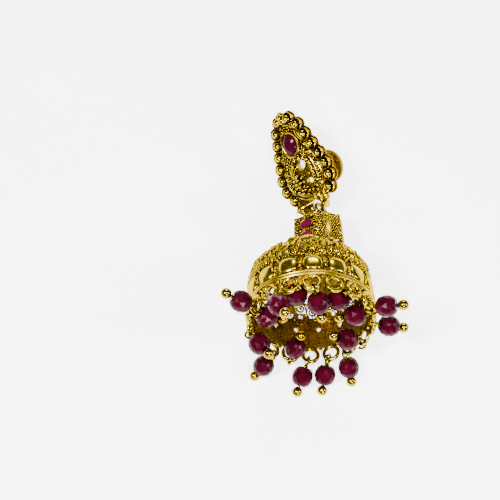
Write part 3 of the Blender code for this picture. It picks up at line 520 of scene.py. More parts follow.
def dome_radius(share):
    reach = (1.0 - share ** DOME_FULLNESS) ** DOME_SHOULDER
    return COLLAR_RADIUS + (DOME_RADIUS - COLLAR_RADIUS) * reach


def dome_point(share, angle):
    radius = dome_radius(share)
    return Vector((radius * math.cos(angle), radius * math.sin(angle), DOME_BASE + DOME_HEIGHT * share))


def dome_frame(share, angle):
    """A place on the dome: X across, Y up it and Z out of it."""
    above = dome_point(min(share + 0.02, 0.98), angle)
    below = dome_point(max(share - 0.02, 0.0), angle)
    up = (above - below).normalized()
    across = Vector((-math.sin(angle), math.cos(angle), 0.0))
    return move(*dome_point(share, angle)) @ axes(across, up, across.cross(up))


def dome_near(share, angle, x, y, lift):
    """A point lifted off the dome, x across and y up it from a place on it."""
    climb = (dome_point(min(share + 0.03, 0.99), 0.0) - dome_point(share - 0.03, 0.0)).length / 0.06
    share = min(max(share + y / climb, 0.0), 0.985)
    place = dome_frame(share, angle + x / dome_radius(share))
    return place @ Vector((0.0, 0.0, lift))


def on_dome(path, lift):
    """Points and ways out along a path of share and angle pairs."""
    points = []
    outs = []
    for share, angle in path:
        place = dome_frame(share, angle)
        points.append(place @ Vector((0.0, 0.0, lift)))
        outs.append(place.col[2].xyz)
    return points, outs


def band_radius(height):
    return RIM_RADIUS - BAND_TAPER * height / BAND_TOP


def band_place(height, degrees, lift=0.0):
    """A place on the band: X across, Y up and Z out."""
    angle = math.radians(degrees)
    across = Vector((-math.sin(angle), math.cos(angle), 0.0))
    up = Vector((0.0, 0.0, 1.0))
    out = across.cross(up)
    here = out * (band_radius(height) + lift) + up * height
    return move(*here) @ axes(across, up, out)


def circle(radius, height, count):
    """Points round the bell's axis, and the way out at each."""
    points = []
    outs = []
    for step in range(count):
        angle = FULL_TURN * step / count
        out = Vector((math.cos(angle), math.sin(angle), 0.0))
        points.append(out * radius + Vector((0.0, 0.0, height)))
        outs.append(out)
    return points, outs


def half_round(radius, level, size, steps=5):
    """The profile of a half-round moulding, from its top edge to its bottom edge."""
    profile = []
    for step in range(steps + 1):
        angle = math.pi * step / steps
        profile.append((radius + size * math.sin(angle), level + size * math.cos(angle)))
    return profile


# Holes of a panel: place up the dome, place across as a share of half a panel, radius, sides, stretch, turn
PANEL_HOLES = (
    (0.30, -0.26, 1.42, 20, (1.0, 1.0), 0.0),
    (0.42, 0.27, 1.18, 20, (1.0, 1.0), 0.0),
    (0.68, 0.02, 0.78, 16, (0.9, 1.2), 0.0),
    (0.14, -0.73, 0.95, 3, (1.0, 1.2), 30.0),
    (0.14, 0.73, 0.95, 3, (1.0, 1.2), -30.0),
    (0.11, 0.28, 0.46, 10, (1.0, 1.0), 0.0),
    (0.80, -0.34, 0.44, 10, (1.0, 1.3), 0.0),
)


# Granules of a panel: place up the dome, place across as a share of half a panel, radius
PANEL_GRAINS = (
    (0.30, -0.26, 0.34), (0.42, 0.27, 0.32), (0.82, 0.0, 0.26), (0.50, -0.28, 0.24), (0.24, 0.20, 0.26),
    (0.56, 0.06, 0.22), (0.10, -0.02, 0.30), (0.60, 0.42, 0.20), (0.08, 0.45, 0.24), (0.08, -0.50, 0.24),
)

# A leaf wire between two bosses, x across and y up
BAND_LEAF = ((0.10, -1.9), (0.42, -1.2), (0.30, -0.4), (0.75, 0.35), (0.80, 1.1), (0.35, 1.85), (0.0, 2.15))


def panel_middle(panel):
    return FULL_TURN * panel / PANELS


def build_bell_shell():
    shares = [step / 18 for step in range(18, -1, -1)]
    outer = [(0.0, NECK_BASE), (COLLAR_NECK, NECK_BASE)]
    outer += half_round(COLLAR_NECK, 14.74, 0.22)
    outer += half_round(COLLAR_NECK, 14.24, 0.22)
    outer += [(COLLAR_NECK, COLLAR_TOP), (4.72, 13.4), (4.92, 12.7), (5.12, 12.2), (COLLAR_RADIUS, 11.95)]
    outer += [(dome_radius(share), DOME_BASE + DOME_HEIGHT * share) for share in shares]
    outer += [(DOME_RADIUS, BAND_TOP), (11.52, 3.1), (band_radius(0.95), 0.95)]
    outer += half_round(RIM_RADIUS, 0.62, 0.25)
    outer += half_round(RIM_RADIUS, 0.02, 0.34)
    inner = [(RIM_RADIUS - WALL, -0.30), (DOME_RADIUS - WALL, DOME_BASE)]
    for share in shares[-2:0:-1]:
        inner.append((dome_radius(share) - WALL * (1.0 + 0.4 * share),
                      DOME_BASE + DOME_HEIGHT * share - WALL * share))
    inner += [(COLLAR_RADIUS - WALL, DOME_TOP - WALL), (0.0, DOME_TOP - WALL)]
    shell = turned(outer + inner, 144)
    cutters = []
    for panel in range(PANELS):
        for share, across, radius, sides, scale, lean in PANEL_HOLES:
            place = dome_frame(share, panel_middle(panel) + across * math.pi / PANELS)
            cutter = prism(radius, radius, 3.0, sides, (*scale, 1.0))
            cutters.append((cutter, place @ turn(lean, "Z") @ move(0, 0, -1.9)))
    for boss in range(BOSSES):
        place = band_place(BAND_TOP * 0.76, 360.0 * (boss + 0.5) / BOSSES)
        cutters.append((prism(0.55, 0.55, 3.0, 4, (1.0, 1.25, 1.0)), place @ move(0, 0, -1.9)))
    piece = Piece("bell_shell")
    piece.add(cut(shell, cutters))
    piece.finish(BELL_PLACE, SATIN_PAINTED_LIT, replaces=["bell"], angle=35.0)


def arch_path(middle, half_angle, foot, top, steps=26):
    path = []
    for step in range(steps + 1):
        sweep = math.pi * step / steps
        across = math.cos(sweep) * (1.0 - 0.12 * math.sin(sweep))
        share = foot + (top - foot) * max(math.sin(sweep), 0.0) ** 0.85
        path.append((share, middle + across * math.radians(half_angle)))
    return path


def build_dome_ropes():
    """Rope wires between the panels, plain wires beside them, and the ropes and wires at the base."""
    piece = Piece("dome_ropes")
    twisted = []
    plain = []
    for panel in range(PANELS):
        middle = panel_middle(panel + 0.5) + math.radians(0.7)
        for side, target in ((0.0, twisted), (-2.3, plain), (2.3, plain)):
            path = [(share / 20 * 0.985, middle + math.radians(side) * (1.0 + 0.5 * share / 20))
                    for share in range(21)]
            points, outs = on_dome(path, 0.16 if target is twisted else 0.05)
            if target is twisted:
                twisted += strands(points, outs, 0.19, 0.95)
            else:
                plain.append(points)
    piece.add(wires(twisted, 0.20))
    piece.add(wires(plain, 0.13, resolution=1))
    for level, hand in ((DOME_BASE - 0.30, 1), (BAND_TOP + 0.34, -1)):
        points, outs = circle(DOME_RADIUS - 0.06, level, 180)
        if hand < 0:
            points.reverse()
            outs.reverse()
        piece.add(wires(strands(points, outs, 0.20, 0.95, closed=True), 0.21, closed=True))
    for level in (DOME_BASE + 0.12, DOME_BASE - 0.62, BAND_TOP - 0.08):
        piece.add(wires([circle(DOME_RADIUS + 0.06, level, 120)[0]], 0.13, closed=True))
    piece.finish(BELL_PLACE, WIRE)


def build_dome_scrolls():
    """The pointed arches of the panels, with the scrolls and leaf loops inside them."""
    piece = Piece("dome_scrolls")
    thick = []
    thin = []
    for panel in range(PANELS):
        middle = panel_middle(panel)
        half = math.pi / PANELS
        thick.append(on_dome(arch_path(middle, 13.2, 0.05, 0.93), 0.10)[0])
        thin.append(on_dome(arch_path(middle, 11.3, 0.06, 0.86), 0.08)[0])
        for share, across, radius, core, turns, start, hand in (
            (0.30, -0.26, 1.22, 0.42, 1.55, -60.0, 1),
            (0.42, 0.27, 1.02, 0.38, 1.50, 200.0, -1),
        ):
            place = middle + across * half
            thick.append([dome_near(share, place, x, y, 0.12)
                          for x, y in scroll(radius, core, turns, start, hand)])
        loop = [(0.62 * math.sin(step), 0.85 * math.cos(step) - 0.15) for step in
                [FULL_TURN * number / 20 for number in range(21)]]
        thin.append([dome_near(0.68, middle + 0.02 * half, x, y, 0.10) for x, y in loop])
        for hand in (-1, 1):
            corner = [(0.95, 0.0), (0.72, 0.55), (0.25, 0.95), (-0.2, 1.35), (-0.25, 1.75)]
            thin.append([dome_near(0.14, middle + hand * 0.73 * half, -hand * (x - 0.55), y - 0.55, 0.08)
                         for x, y in corner])
            leaf = [(0.0, -0.9), (0.35, -0.35), (0.28, 0.3), (0.0, 0.75), (-0.25, 0.25), (-0.22, -0.35)]
            thin.append([dome_near(0.14, middle + hand * 0.30 * half, hand * x, y, 0.10) for x, y in leaf])
    piece.add(wires(thick, 0.19))
    piece.add(wires(thin, 0.13, resolution=1))
    piece.finish(BELL_PLACE, WIRE)


def build_dome_granules():
    piece = Piece("dome_granules")
    grain = ball(8, 6)
    for panel in range(PANELS):
        middle = panel_middle(panel)
        half = math.pi / PANELS
        path = on_dome(arch_path(middle, 16.0, 0.05, 0.98, 40), 0.12)[0]
        piece.dots(grain, spaced(path, 0.52)[1:], 0.21)
        for share, across, size in PANEL_GRAINS:
            point = dome_near(share, middle + across * half, 0.0, 0.0, 0.16)
            piece.add(grain, move(*point) @ sized(size))
    piece.dots(grain, circle(COLLAR_RADIUS + 0.10, DOME_TOP + 0.05, 56)[0], 0.28)
    piece.dots(grain, circle(COLLAR_NECK + 0.12, COLLAR_TOP - 0.02, 60)[0], 0.22)
    piece.finish(BELL_PLACE, POLISHED)


def cushion(width, height, rise):
    """A squarish domed boss on a short straight foot."""
    bm = bmesh.new()
    bmesh.ops.create_uvsphere(bm, u_segments=28, v_segments=16, radius=1.0)
    cut_edges = bmesh.ops.bisect_plane(bm, geom=bm.verts[:] + bm.edges[:] + bm.faces[:], dist=1e-5,
                                       plane_co=(0, 0, 0), plane_no=(0, 0, 1), clear_inner=True)
    for vert in bm.verts:
        for axis in (0, 1):
            vert.co[axis] = math.copysign(abs(vert.co[axis]) ** 0.78, vert.co[axis])
    bmesh.ops.scale(bm, vec=(width / 2, height / 2, rise), verts=bm.verts)
    rim = [item for item in cut_edges["geom_cut"] if isinstance(item, bmesh.types.BMEdge)]
    grown = bmesh.ops.extrude_edge_only(bm, edges=rim)
    low = [item for item in grown["geom"] if isinstance(item, bmesh.types.BMVert)]
    bmesh.ops.translate(bm, vec=(0, 0, -0.35), verts=low)
    bmesh.ops.holes_fill(bm, edges=[edge for edge in bm.edges if edge.is_boundary])
    return as_mesh("cushion", bm)


def build_bosses():
    """The mirror-bright bosses of the band."""
    piece = Piece("band_bosses")
    boss = cushion(3.5, 3.3, 0.62)
    for number in range(BOSSES):
        piece.add(boss, band_place(BAND_TOP * 0.50, 360.0 * number / BOSSES))
    piece.finish(BELL_PLACE, PAINTED_LIT_GOLD, angle=50.0)


def build_band_trim():
    """Frames round the bosses, leaf wires between them and rows of granules above and below."""
    piece = Piece("band_trim")
    frames = []
    leaves = []
    for number in range(BOSSES):
        place = band_place(BAND_TOP * 0.50, 360.0 * number / BOSSES)
        points = []
        for step in range(28):
            angle = FULL_TURN * step / 28
            x = 1.98 * math.copysign(abs(math.cos(angle)) ** 0.8, math.cos(angle))
            y = 1.86 * math.copysign(abs(math.sin(angle)) ** 0.8, math.sin(angle))
            points.append(place @ Vector((x, y, 0.02 - x * x / 2 / RIM_RADIUS)))
        frames.append(points)
        between = band_place(BAND_TOP * 0.50, 360.0 * (number + 0.5) / BOSSES, 0.05)
        for hand in (-1, 1):
            leaves.append([between @ Vector((hand * x, y, 0.06)) for x, y in BAND_LEAF])
    piece.add(wires(frames, 0.17, closed=True, resolution=1))
    piece.add(wires(leaves, 0.14, resolution=1))
    grain = ball(8, 6)
    for number in range(BOSSES):
        between = band_place(BAND_TOP * 0.50, 360.0 * (number + 0.5) / BOSSES, 0.12)
        for x, y, size in ((0.0, -0.55, 0.34), (0.0, -1.35, 0.24), (0.0, 0.10, 0.24), (0.0, 2.3, 0.26),
                           (0.75, 2.2, 0.22), (-0.75, 2.2, 0.22)):
            piece.add(grain, between @ move(x, y) @ sized(size))
    piece.dots(grain, circle(band_radius(0.3) + 0.10, 0.32, 132)[0], 0.17)
    piece.dots(grain, circle(band_radius(4.9) + 0.08, 4.88, 120)[0], 0.20)
    piece.finish(BELL_PLACE, WIRE)


def ring_frame(place):
    """The middle of a rim ring: X along the rim, Y out of the bell and Z along its axis."""
    around = RING_START + 360.0 * place / RINGS - 90.0
    return turn(around, "Z") @ move(0, RIM_RADIUS - 0.5 * RIM_WIRE, RING_LEVEL)


def build_rim_rings():
    """Each rim ring is a thick wire, soldered to the rim with a grain on either side."""
    piece = Piece("rim_rings")
    wide = wire_ring(1.42, 0.40, 36, 12)
    grain = ball(12, 8)
    for number in range(RINGS):
        piece.add(wide, ring_frame(number) @ turn(90, "X"))
        for side in (-1, 1):
            piece.add(grain, ring_frame(number) @ move(side * 1.98, 0.0, 1.30) @ sized(0.30))
    piece.finish(BELL_PLACE, PAINTED_LIT_GOLD)


def crown_place(height=0.0):
    return move(CROWN_SHIFT, 0.0, height) @ turn(CROWN_TURN, "Z")


def crown_corner(corner, level):
    angle = math.radians(60.0 * corner - 30.0)
    low = Vector((CROWN_BASE[0] * math.cos(angle), CROWN_BASE[1] * math.sin(angle), NECK_BASE))
    high = Vector((CROWN_TOP[0] * math.cos(angle), CROWN_TOP[1] * math.sin(angle), CROWN_LID))
    return low.lerp(high, level)


def crown_face(face, level):
    """A place on a face of the crown, with X along it, Y up it and Z out of it, and half its width there."""
    low = (crown_corner(face, 0.0) + crown_corner(face + 1, 0.0)) / 2
    high = (crown_corner(face, 1.0) + crown_corner(face + 1, 1.0)) / 2
    across = (crown_corner(face + 1, 0.0) - crown_corner(face, 0.0)).normalized()
    up = (high - low).normalized()
    half = (crown_corner(face + 1, level) - crown_corner(face, level)).length / 2
    return move(*low.lerp(high, level)) @ axes(across, up, across.cross(up)), half


def build_crown():
    """The crown's six-sided drum, its lid and the stepped cap under the loop."""
    piece = Piece("crown_drum")
    bm = bmesh.new()
    foot = 14.75
    depth = 7.45
    bmesh.ops.create_cone(bm, cap_ends=True, segments=6, radius1=1.0, radius2=1.0, depth=depth,
                          matrix=move(0, 0, foot + depth / 2) @ turn(30, "Z"))
    for vert in bm.verts:
        size = CROWN_BASE if vert.co.z < 17.0 else CROWN_TOP
        vert.co.x *= size[0] * 0.97
        vert.co.y *= size[1] * 0.97
    bmesh.ops.bevel(bm, geom=bm.edges[:], offset=0.12, affect="EDGES", segments=2, profile=0.5, material=-1)
    piece.add(as_mesh("drum", bm), crown_place())
    wide = CROWN_TOP[0] / CROWN_TOP[1]
    cap = [(0.0, 24.9), (0.55, 24.85), (0.85, 24.6), (0.95, 24.3), (0.85, 24.0), (1.25, 23.8), (1.40, 23.5),
           (1.30, 23.2), (1.75, 23.0), (1.90, 22.7), (1.95, 22.1), (0.0, 22.1)]
    piece.add(turned(cap, 48), crown_place() @ stretch(wide, 1.0, 1.0))
    piece.finish(BELL_PLACE, CAST)


def build_crown_trim():
    """Rope wires on the crown's corners and rims, and granules and ribbed strips on its faces, with rows of
    granules round the stones' places.
    """
    piece = Piece("crown_trim")
    twisted = []
    plain = []
    for corner in range(6):
        path = [crown_corner(corner, step / 8) for step in range(9)]
        outs = [Vector((point.x, point.y, 0.0)).normalized() for point in path]
        twisted += strands(path, outs, 0.17, 0.8)
    for level in (0.03, 0.97):
        path = []
        for corner in range(6):
            first = crown_corner(corner, level)
            second = crown_corner(corner + 1, level)
            path += [first.lerp(second, step / 4) for step in range(4)]
        outs = [Vector((point.x, point.y, 0.0)).normalized() for point in path]
        twisted += strands(path, outs, 0.16, 0.8, closed=True)
    piece.add(wires(twisted, 0.18), crown_place())
    grain = ball(8, 6)
    for face in (0, 2, 3, 5):
        for row in range(14):
            level = 0.08 + 0.84 * row / 13
            place, half = crown_face(face, level)
            if face in (2, 5):
                for number in range(9):
                    x = (number - 4 + (0.25 if row % 2 else -0.25)) * half * 0.20
                    piece.add(grain, crown_place() @ place @ move(x, 0.0, 0.06) @ sized(0.25))
            else:
                here = crown_place() @ place
                plain.append([here @ Vector((x * half * 0.72, 0.0, 0.06)) for x in (-1, -0.5, 0, 0.5, 1)])
                plain.append([here @ Vector((x * half * 0.72, 0.29, 0.02)) for x in (-1, 0, 1)])
    for face in sorted(RUBY_FACES):
        for level in (0.10, 0.475, 0.90):
            place, half = crown_face(face, level)
            for number in range(7):
                x = (number - 3) / 3 * half * 0.78
                piece.add(grain, crown_place() @ place @ move(x, 0.0, 0.10) @ sized(0.25))
        for level in RUBY_LEVELS:
            place, half = crown_face(face, level)
            for side in (-1, 1):
                for row in (-1, 0, 1):
                    point = move(side * half * 0.78, row * 0.75, 0.10)
                    piece.add(grain, crown_place() @ place @ point @ sized(0.26))
    piece.add(wires(plain, 0.16, resolution=1))
    for height, radius, count in ((23.05, 1.98, 26), (23.85, 1.42, 20)):
        for step in range(count):
            angle = FULL_TURN * step / count
            across = radius * CROWN_TOP[0] / CROWN_TOP[1] * math.cos(angle)
            piece.add(grain, crown_place() @ move(across, radius * math.sin(angle), height) @ sized(0.26))
    piece.finish(BELL_PLACE, WIRE)


# Rows of corners of a stone and of a bead: radius and level as shares of its own, and turn in steps
STONE_ROWS = (
    (0.56, 1.0, 0.0), (0.82, 0.84, 0.5), (1.0, 0.62, 0.0),
    (0.98, 0.54, 0.0), (0.45, 0.12, 0.5), (0.2, 0.0, 0.0),
)
BEAD_ROWS = (
    (0.52, 1.0, 0.0), (0.80, 0.74, 0.5), (0.985, 0.27, 0.0),
    (0.985, -0.27, 0.5), (0.80, -0.74, 0.0), (0.52, -1.0, 0.5),
)


def oval_bezel(size, wall, depth, steps):
    """An oval collar with an open middle, standing on z = 0."""
    profile = [(1.0, 0.0), (1.0, depth - 0.08), (1.0 + 0.35 * wall, depth), (1.0 + 0.75 * wall, depth),
               (1.0 + wall, depth - 0.1), (1.0 + wall, 0.0)]
    mesh = turned(profile, steps, closed=True)
    mesh.transform(stretch(size[0], size[1], 1.0))
    return mesh


def faceted(rows, radius, height, sides):
    """The hull of rows of corners, each row given by its radius, its level and its turn in steps."""
    bm = bmesh.new()
    for share, level, phase in rows:
        bmesh.ops.create_circle(bm, segments=sides, radius=share * radius,
                                matrix=move(0, 0, level * height) @ turn(360.0 * phase / sides, "Z"))
    bmesh.ops.delete(bm, geom=bm.edges[:], context="EDGES_FACES")
    bmesh.ops.convex_hull(bm, input=bm.verts)
    return bm


def cut_stone(size, height, sides):
    """An oval stone: table, crown facets, girdle and pavilion."""
    bm = faceted(STONE_ROWS, 1.0, height, sides)
    bmesh.ops.scale(bm, vec=(size[0], size[1], 1.0), verts=bm.verts)
    return as_mesh("stone", bm)


def build_crown_rubies():
    bezels = Piece("crown_bezels")
    collar = oval_bezel((1.42, 0.98), 0.22, 0.55, 32)
    grain = ball(6, 4)
    number = 0
    for face in RUBY_FACES:
        for level in RUBY_LEVELS:
            number += 1
            place = crown_place() @ crown_face(face, level)[0]
            bezels.add(collar, place @ move(0, 0, -0.15))
            for step in range(16):
                angle = FULL_TURN * step / 16
                bezels.add(grain, place @ move(1.66 * math.cos(angle), 1.17 * math.sin(angle), 0.32)
                           @ sized(0.13))
            stone = Piece(f"crown_stone_{number}")
            stone.add(cut_stone((1.36, 0.92), 0.9, 10), place @ move(0, 0, -0.22))
            stone.finish(BELL_PLACE, PINK_GLASS, replaces=[f"crown_ruby_{number}"], angle=8.0)
    bezels.finish(BELL_PLACE, CAST)


def build_top_loop():
    piece = Piece("top_loop")
    place = move(CROWN_SHIFT + 0.7, 0.0, LOOP_LEVEL) @ turn(LOOP_TURN, "Z") @ turn(90, "X")
    piece.add(wire_ring(1.18, 0.38, 40, 12), place)
    piece.add(turned([(0.0, 0.5), (0.35, 0.45), (0.5, 0.15), (0.42, -0.4), (0.6, -0.9), (0.0, -0.9)], 24),
              move(CROWN_SHIFT + 0.7, 0.0, LOOP_LEVEL - 1.15 - 0.35))
    piece.finish(BELL_PLACE, POLISHED)


def drop_place(ring, side, out):
    """A drop's eye: its Z axis runs back up the pin and its Y axis along the ring's wire."""
    side = math.radians(side)
    out = math.radians(out)
    flat = Vector((math.sin(side), 0.0, -math.cos(side)))
    wire = Vector((math.cos(side), 0.0, math.sin(side)))
    pin = flat * math.cos(out) + Vector((0.0, math.sin(out), 0.0))
    turned_to = axes(wire.cross(-pin), wire, -pin)
    return BELL_PLACE @ ring_frame(ring) @ move(*(flat * RING_RADIUS)) @ turned_to


def cut_bead():
    """A faceted bead with a hole through it: rings of corners, each half a step round from the last."""
    sides = 12
    bm = faceted(BEAD_ROWS, BEAD_RADIUS, BEAD_HALF, sides)
    bmesh.ops.dissolve_limit(bm, angle_limit=math.radians(1.0), verts=bm.verts[:], edges=bm.edges[:])
    ends = [face for face in bm.faces if len(face.verts) == sides and abs(face.normal.z) > 0.99]
    bmesh.ops.inset_region(bm, faces=ends, thickness=0.52 * BEAD_RADIUS - 0.52, depth=0.0)
    rims = [edge for face in ends for edge in face.edges]
    bmesh.ops.delete(bm, geom=ends, context="FACES_ONLY")
    bmesh.ops.bridge_loops(bm, edges=rims)
    return as_mesh("bead", bm)


def build_drops():
    bead = cut_bead()
    knob = ball(24, 16, PIN_BALL)
    eye = wire_ring(EYE_RADIUS, PIN_WIRE, 28, 8)
    stem_length = -BALL_MIDDLE - EYE_RADIUS
    stem = prism(PIN_WIRE, PIN_WIRE, stem_length, 14)
    wrap = wire_ring(0.36, 0.12, 18, 6)
    for number, drop in enumerate(DROPS, 1):
        place = drop_place(*drop)
        pin = Piece(f"drop_pin_{number:02d}")
        pin.add(stem, move(0, 0, BALL_MIDDLE))
        pin.add(knob, move(0, 0, BALL_MIDDLE))
        pin.add(eye, turn(90, "X"))
        for level in (0.10, 0.32):
            pin.add(wrap, move(0, 0, -EYE_RADIUS - level))
        pin.finish(place, POLISHED, replaces=[f"head_pin_{number:02d}"])
        glass = Piece(f"drop_bead_{number:02d}")
        glass.add(bead, move(0, 0, BEAD_MIDDLE) @ turn(37.0 * number, "Z"))
        glass.finish(place, BEAD_GLASS, replaces=[f"bead_{number:02d}"], angle=6.0)


def stud_outline(outset, steps=96):
    """The plate's outline: the bowl's arc and the tip's arc joined by straight sides."""
    span = TIP - BOWL
    lean = math.atan2(span.x, span.y)
    spread_angle = math.acos((BOWL_RADIUS - TIP_RADIUS) / span.length)
    points = []
    for centre, radius, first, last in (
        (TIP, TIP_RADIUS + outset, math.pi / 2 - spread_angle, math.pi / 2 + spread_angle),
        (BOWL, BOWL_RADIUS + outset, math.pi / 2 + spread_angle, 5 * math.pi / 2 - spread_angle),
    ):
        count = max(3, round(steps * (last - first) / FULL_TURN))
        for step in range(count + 1):
            angle = first + (last - first) * step / count - lean
            points.append(centre + radius * Vector((math.cos(angle), math.sin(angle))))
    return points


def border_places():
    """Even places for the cups along the outline, from low on the right over the tip to low on the left."""
    loop = stud_outline(0.75, 24)
    loop.append(loop[0])
    lengths = [0.0]
    for first, second in zip(loop, loop[1:]):
        lengths.append(lengths[-1] + (second - first).length)

    def place_at(length):
        length %= lengths[-1]
        for index in range(len(loop) - 1):
            if length <= lengths[index + 1]:
                part = (length - lengths[index]) / (lengths[index + 1] - lengths[index])
                return loop[index].lerp(loop[index + 1], part)
        return loop[-1]

    def length_at(degrees):
        way = Vector((math.cos(math.radians(degrees)), math.sin(math.radians(degrees))))

        def off(step):
            return abs((place_at(lengths[-1] * step / 720) - BOWL).angle_signed(way))

        return lengths[-1] * min(range(720), key=off) / 720

    first = length_at(-38.0)
    span = (length_at(219.0) - first) % lengths[-1]
    return [place_at(first + span * step / (CUPS - 1)) for step in range(CUPS)]


def flat_plate(points, thickness, soften=0.15):
    curve = bpy.data.curves.new("outline", "CURVE")
    curve.dimensions = "2D"
    curve.fill_mode = "BOTH"
    curve.extrude = thickness / 2 - soften
    curve.bevel_depth = soften
    curve.bevel_resolution = 2
    curve.offset = -soften
    spline = curve.splines.new("POLY")
    spline.points.add(len(points) - 1)
    for knot, point in zip(spline.points, points):
        knot.co = (point.x, point.y, 0.0, 1.0)
    spline.use_cyclic_u = True
    bm = welded(curve)
    bmesh.ops.translate(bm, vec=(0, 0, thickness / 2), verts=bm.verts)
    return as_mesh("plate", bm)


def build_stud_plate():
    piece = Piece("stud_plate")
    plate = flat_plate(stud_outline(0.0), PLATE)
    cutters = [(prism(1.0, 1.0, 4.0, sides, (*size, 1.0)), move(*place, -1.4))
               for place, size, sides in STUD_HOLES]
    cutters.append((prism(1.0, 1.0, 2.0, 40, (1.80, 2.30, 1.0)), STONE_PLACE))
    piece.add(cut(plate, cutters))
    post = [(0.0, 0.2), (POST_RADIUS, 0.2), (POST_RADIUS, -POST_LENGTH + 0.2), (0.35, -POST_LENGTH),
            (0.0, -POST_LENGTH)]
    piece.add(turned(post, 32), move(*POST_AT))
    thread = []
    for step in range(int((POST_LENGTH - 1.0) / THREAD_PITCH * THREAD_STEPS)):
        angle = FULL_TURN * step / THREAD_STEPS
        thread.append(Vector((POST_RADIUS * math.cos(angle), POST_RADIUS * math.sin(angle),
                              -0.5 - THREAD_PITCH * angle / FULL_TURN)))
    piece.add(wires([thread], 0.06, resolution=0), move(*POST_AT))
    piece.finish(STUD_PLACE, CAST, replaces=["stud"], angle=35.0)


def build_stud_border():
    """Cups round the plate with a ball in each, and the flat lobes behind them."""
    cups = Piece("stud_cups")
    balls = Piece("stud_balls")
    cup = turned([(0.0, 0.30), (0.85, 0.45), (1.12, 0.95), (1.16, 1.32), (1.26, 1.40), (1.36, 1.32),
                  (1.35, 0.40), (1.10, 0.02), (0.0, 0.02)], 28)
    lobe = turned([(0.0, 0.42), (1.50, 0.42), (1.60, 0.28), (1.58, 0.10), (0.0, 0.06)], 32)
    bead = ball(22, 14)
    for place in border_places():
        cups.add(lobe, move(place.x, place.y, 0.0))
        cups.add(cup, move(place.x, place.y, 0.0))
        balls.add(bead, move(place.x, place.y, 1.33) @ sized(0.88))
    cups.finish(STUD_PLACE, CAST)
    balls.finish(STUD_PLACE, POLISHED)


def on_plate(points, lift):
    return [Vector((x, y, PLATE + lift)) for x, y in points]


def build_stud_wires():
    """The rope arch, its plain wires, the scrolls and the hanging ring."""
    piece = Piece("stud_wires")
    arch_x, arch_y = ARCH_AT
    twisted = []
    plain = []
    out = Vector((0.0, 0.0, 1.0))
    for radius, leg in ((2.2, 3.4), (2.95, 3.0)):
        path = [Vector((arch_x + radius, arch_y - leg, PLATE + 0.18))]
        path += [Vector((arch_x + radius * math.cos(angle), arch_y + radius * math.sin(angle), PLATE + 0.18))
                 for angle in [math.pi * step / 24 for step in range(25)]]
        path.append(Vector((arch_x - radius, arch_y - leg, PLATE + 0.18)))
        if radius < 2.5:
            twisted += strands(path, [out] * len(path), 0.24, 1.0)
        else:
            plain.append(path)
    plain.append([Vector((point.x, point.y, PLATE + 0.10)) for point in stud_outline(-0.45)])
    for centre, radius, core, turns, start, hand in (
        ((-3.2, 6.9), 1.05, 0.30, 1.6, 90.0, 1), ((3.5, 7.2), 0.95, 0.30, 1.6, 90.0, -1),
        ((-2.9, 11.0), 0.80, 0.28, 1.4, 60.0, 1), ((2.6, 11.9), 0.80, 0.28, 1.4, 120.0, -1),
        ((2.9, 3.6), 0.90, 0.28, 1.5, 0.0, 1),
    ):
        curl = [(centre[0] + x, centre[1] + y) for x, y in scroll(radius, core, turns, start, hand)]
        plain.append(on_plate(curl, 0.12))
    piece.add(wires(twisted, 0.25))
    piece.add(wires(plain, 0.17))
    hole_x, hole_y = STUD_HOLES[0][0]
    hole = [Vector((hole_x + 1.1 * math.cos(angle), hole_y + 1.05 * math.sin(angle), PLATE + 0.05))
            for angle in [FULL_TURN * step / 24 for step in range(24)]]
    piece.add(wires([hole], 0.15, closed=True))
    piece.add(wire_ring(1.52, 0.50, 44, 12), move(0, 0, PLATE / 2))
    piece.finish(STUD_PLACE, WIRE)


def build_stud_hood():
    """The broad curved side of the hanging ring, open below where the loop goes through."""
    piece = Piece("stud_hood")
    bm = bmesh.new()
    profile = [(1.42, -1.0), (1.50, -1.12), (1.90, -1.12), (2.02, -0.95), (1.90, 0.1), (2.02, 1.15),
               (1.90, 1.32), (1.50, 1.32), (1.42, 1.2)]
    knots = [bm.verts.new((radius, 0.0, level)) for radius, level in profile]
    first = bm.faces.new(knots)
    bmesh.ops.rotate(bm, cent=(0, 0, 0), matrix=Matrix.Rotation(math.radians(-42.0), 3, "Z"), verts=bm.verts)
    bmesh.ops.spin(bm, geom=[first], cent=(0, 0, 0), axis=(0, 0, 1), angle=math.radians(150.0), steps=26)
    piece.add(as_mesh("hood", bm))
    piece.finish(STUD_PLACE, PAINTED_LIT_GOLD, angle=50.0)


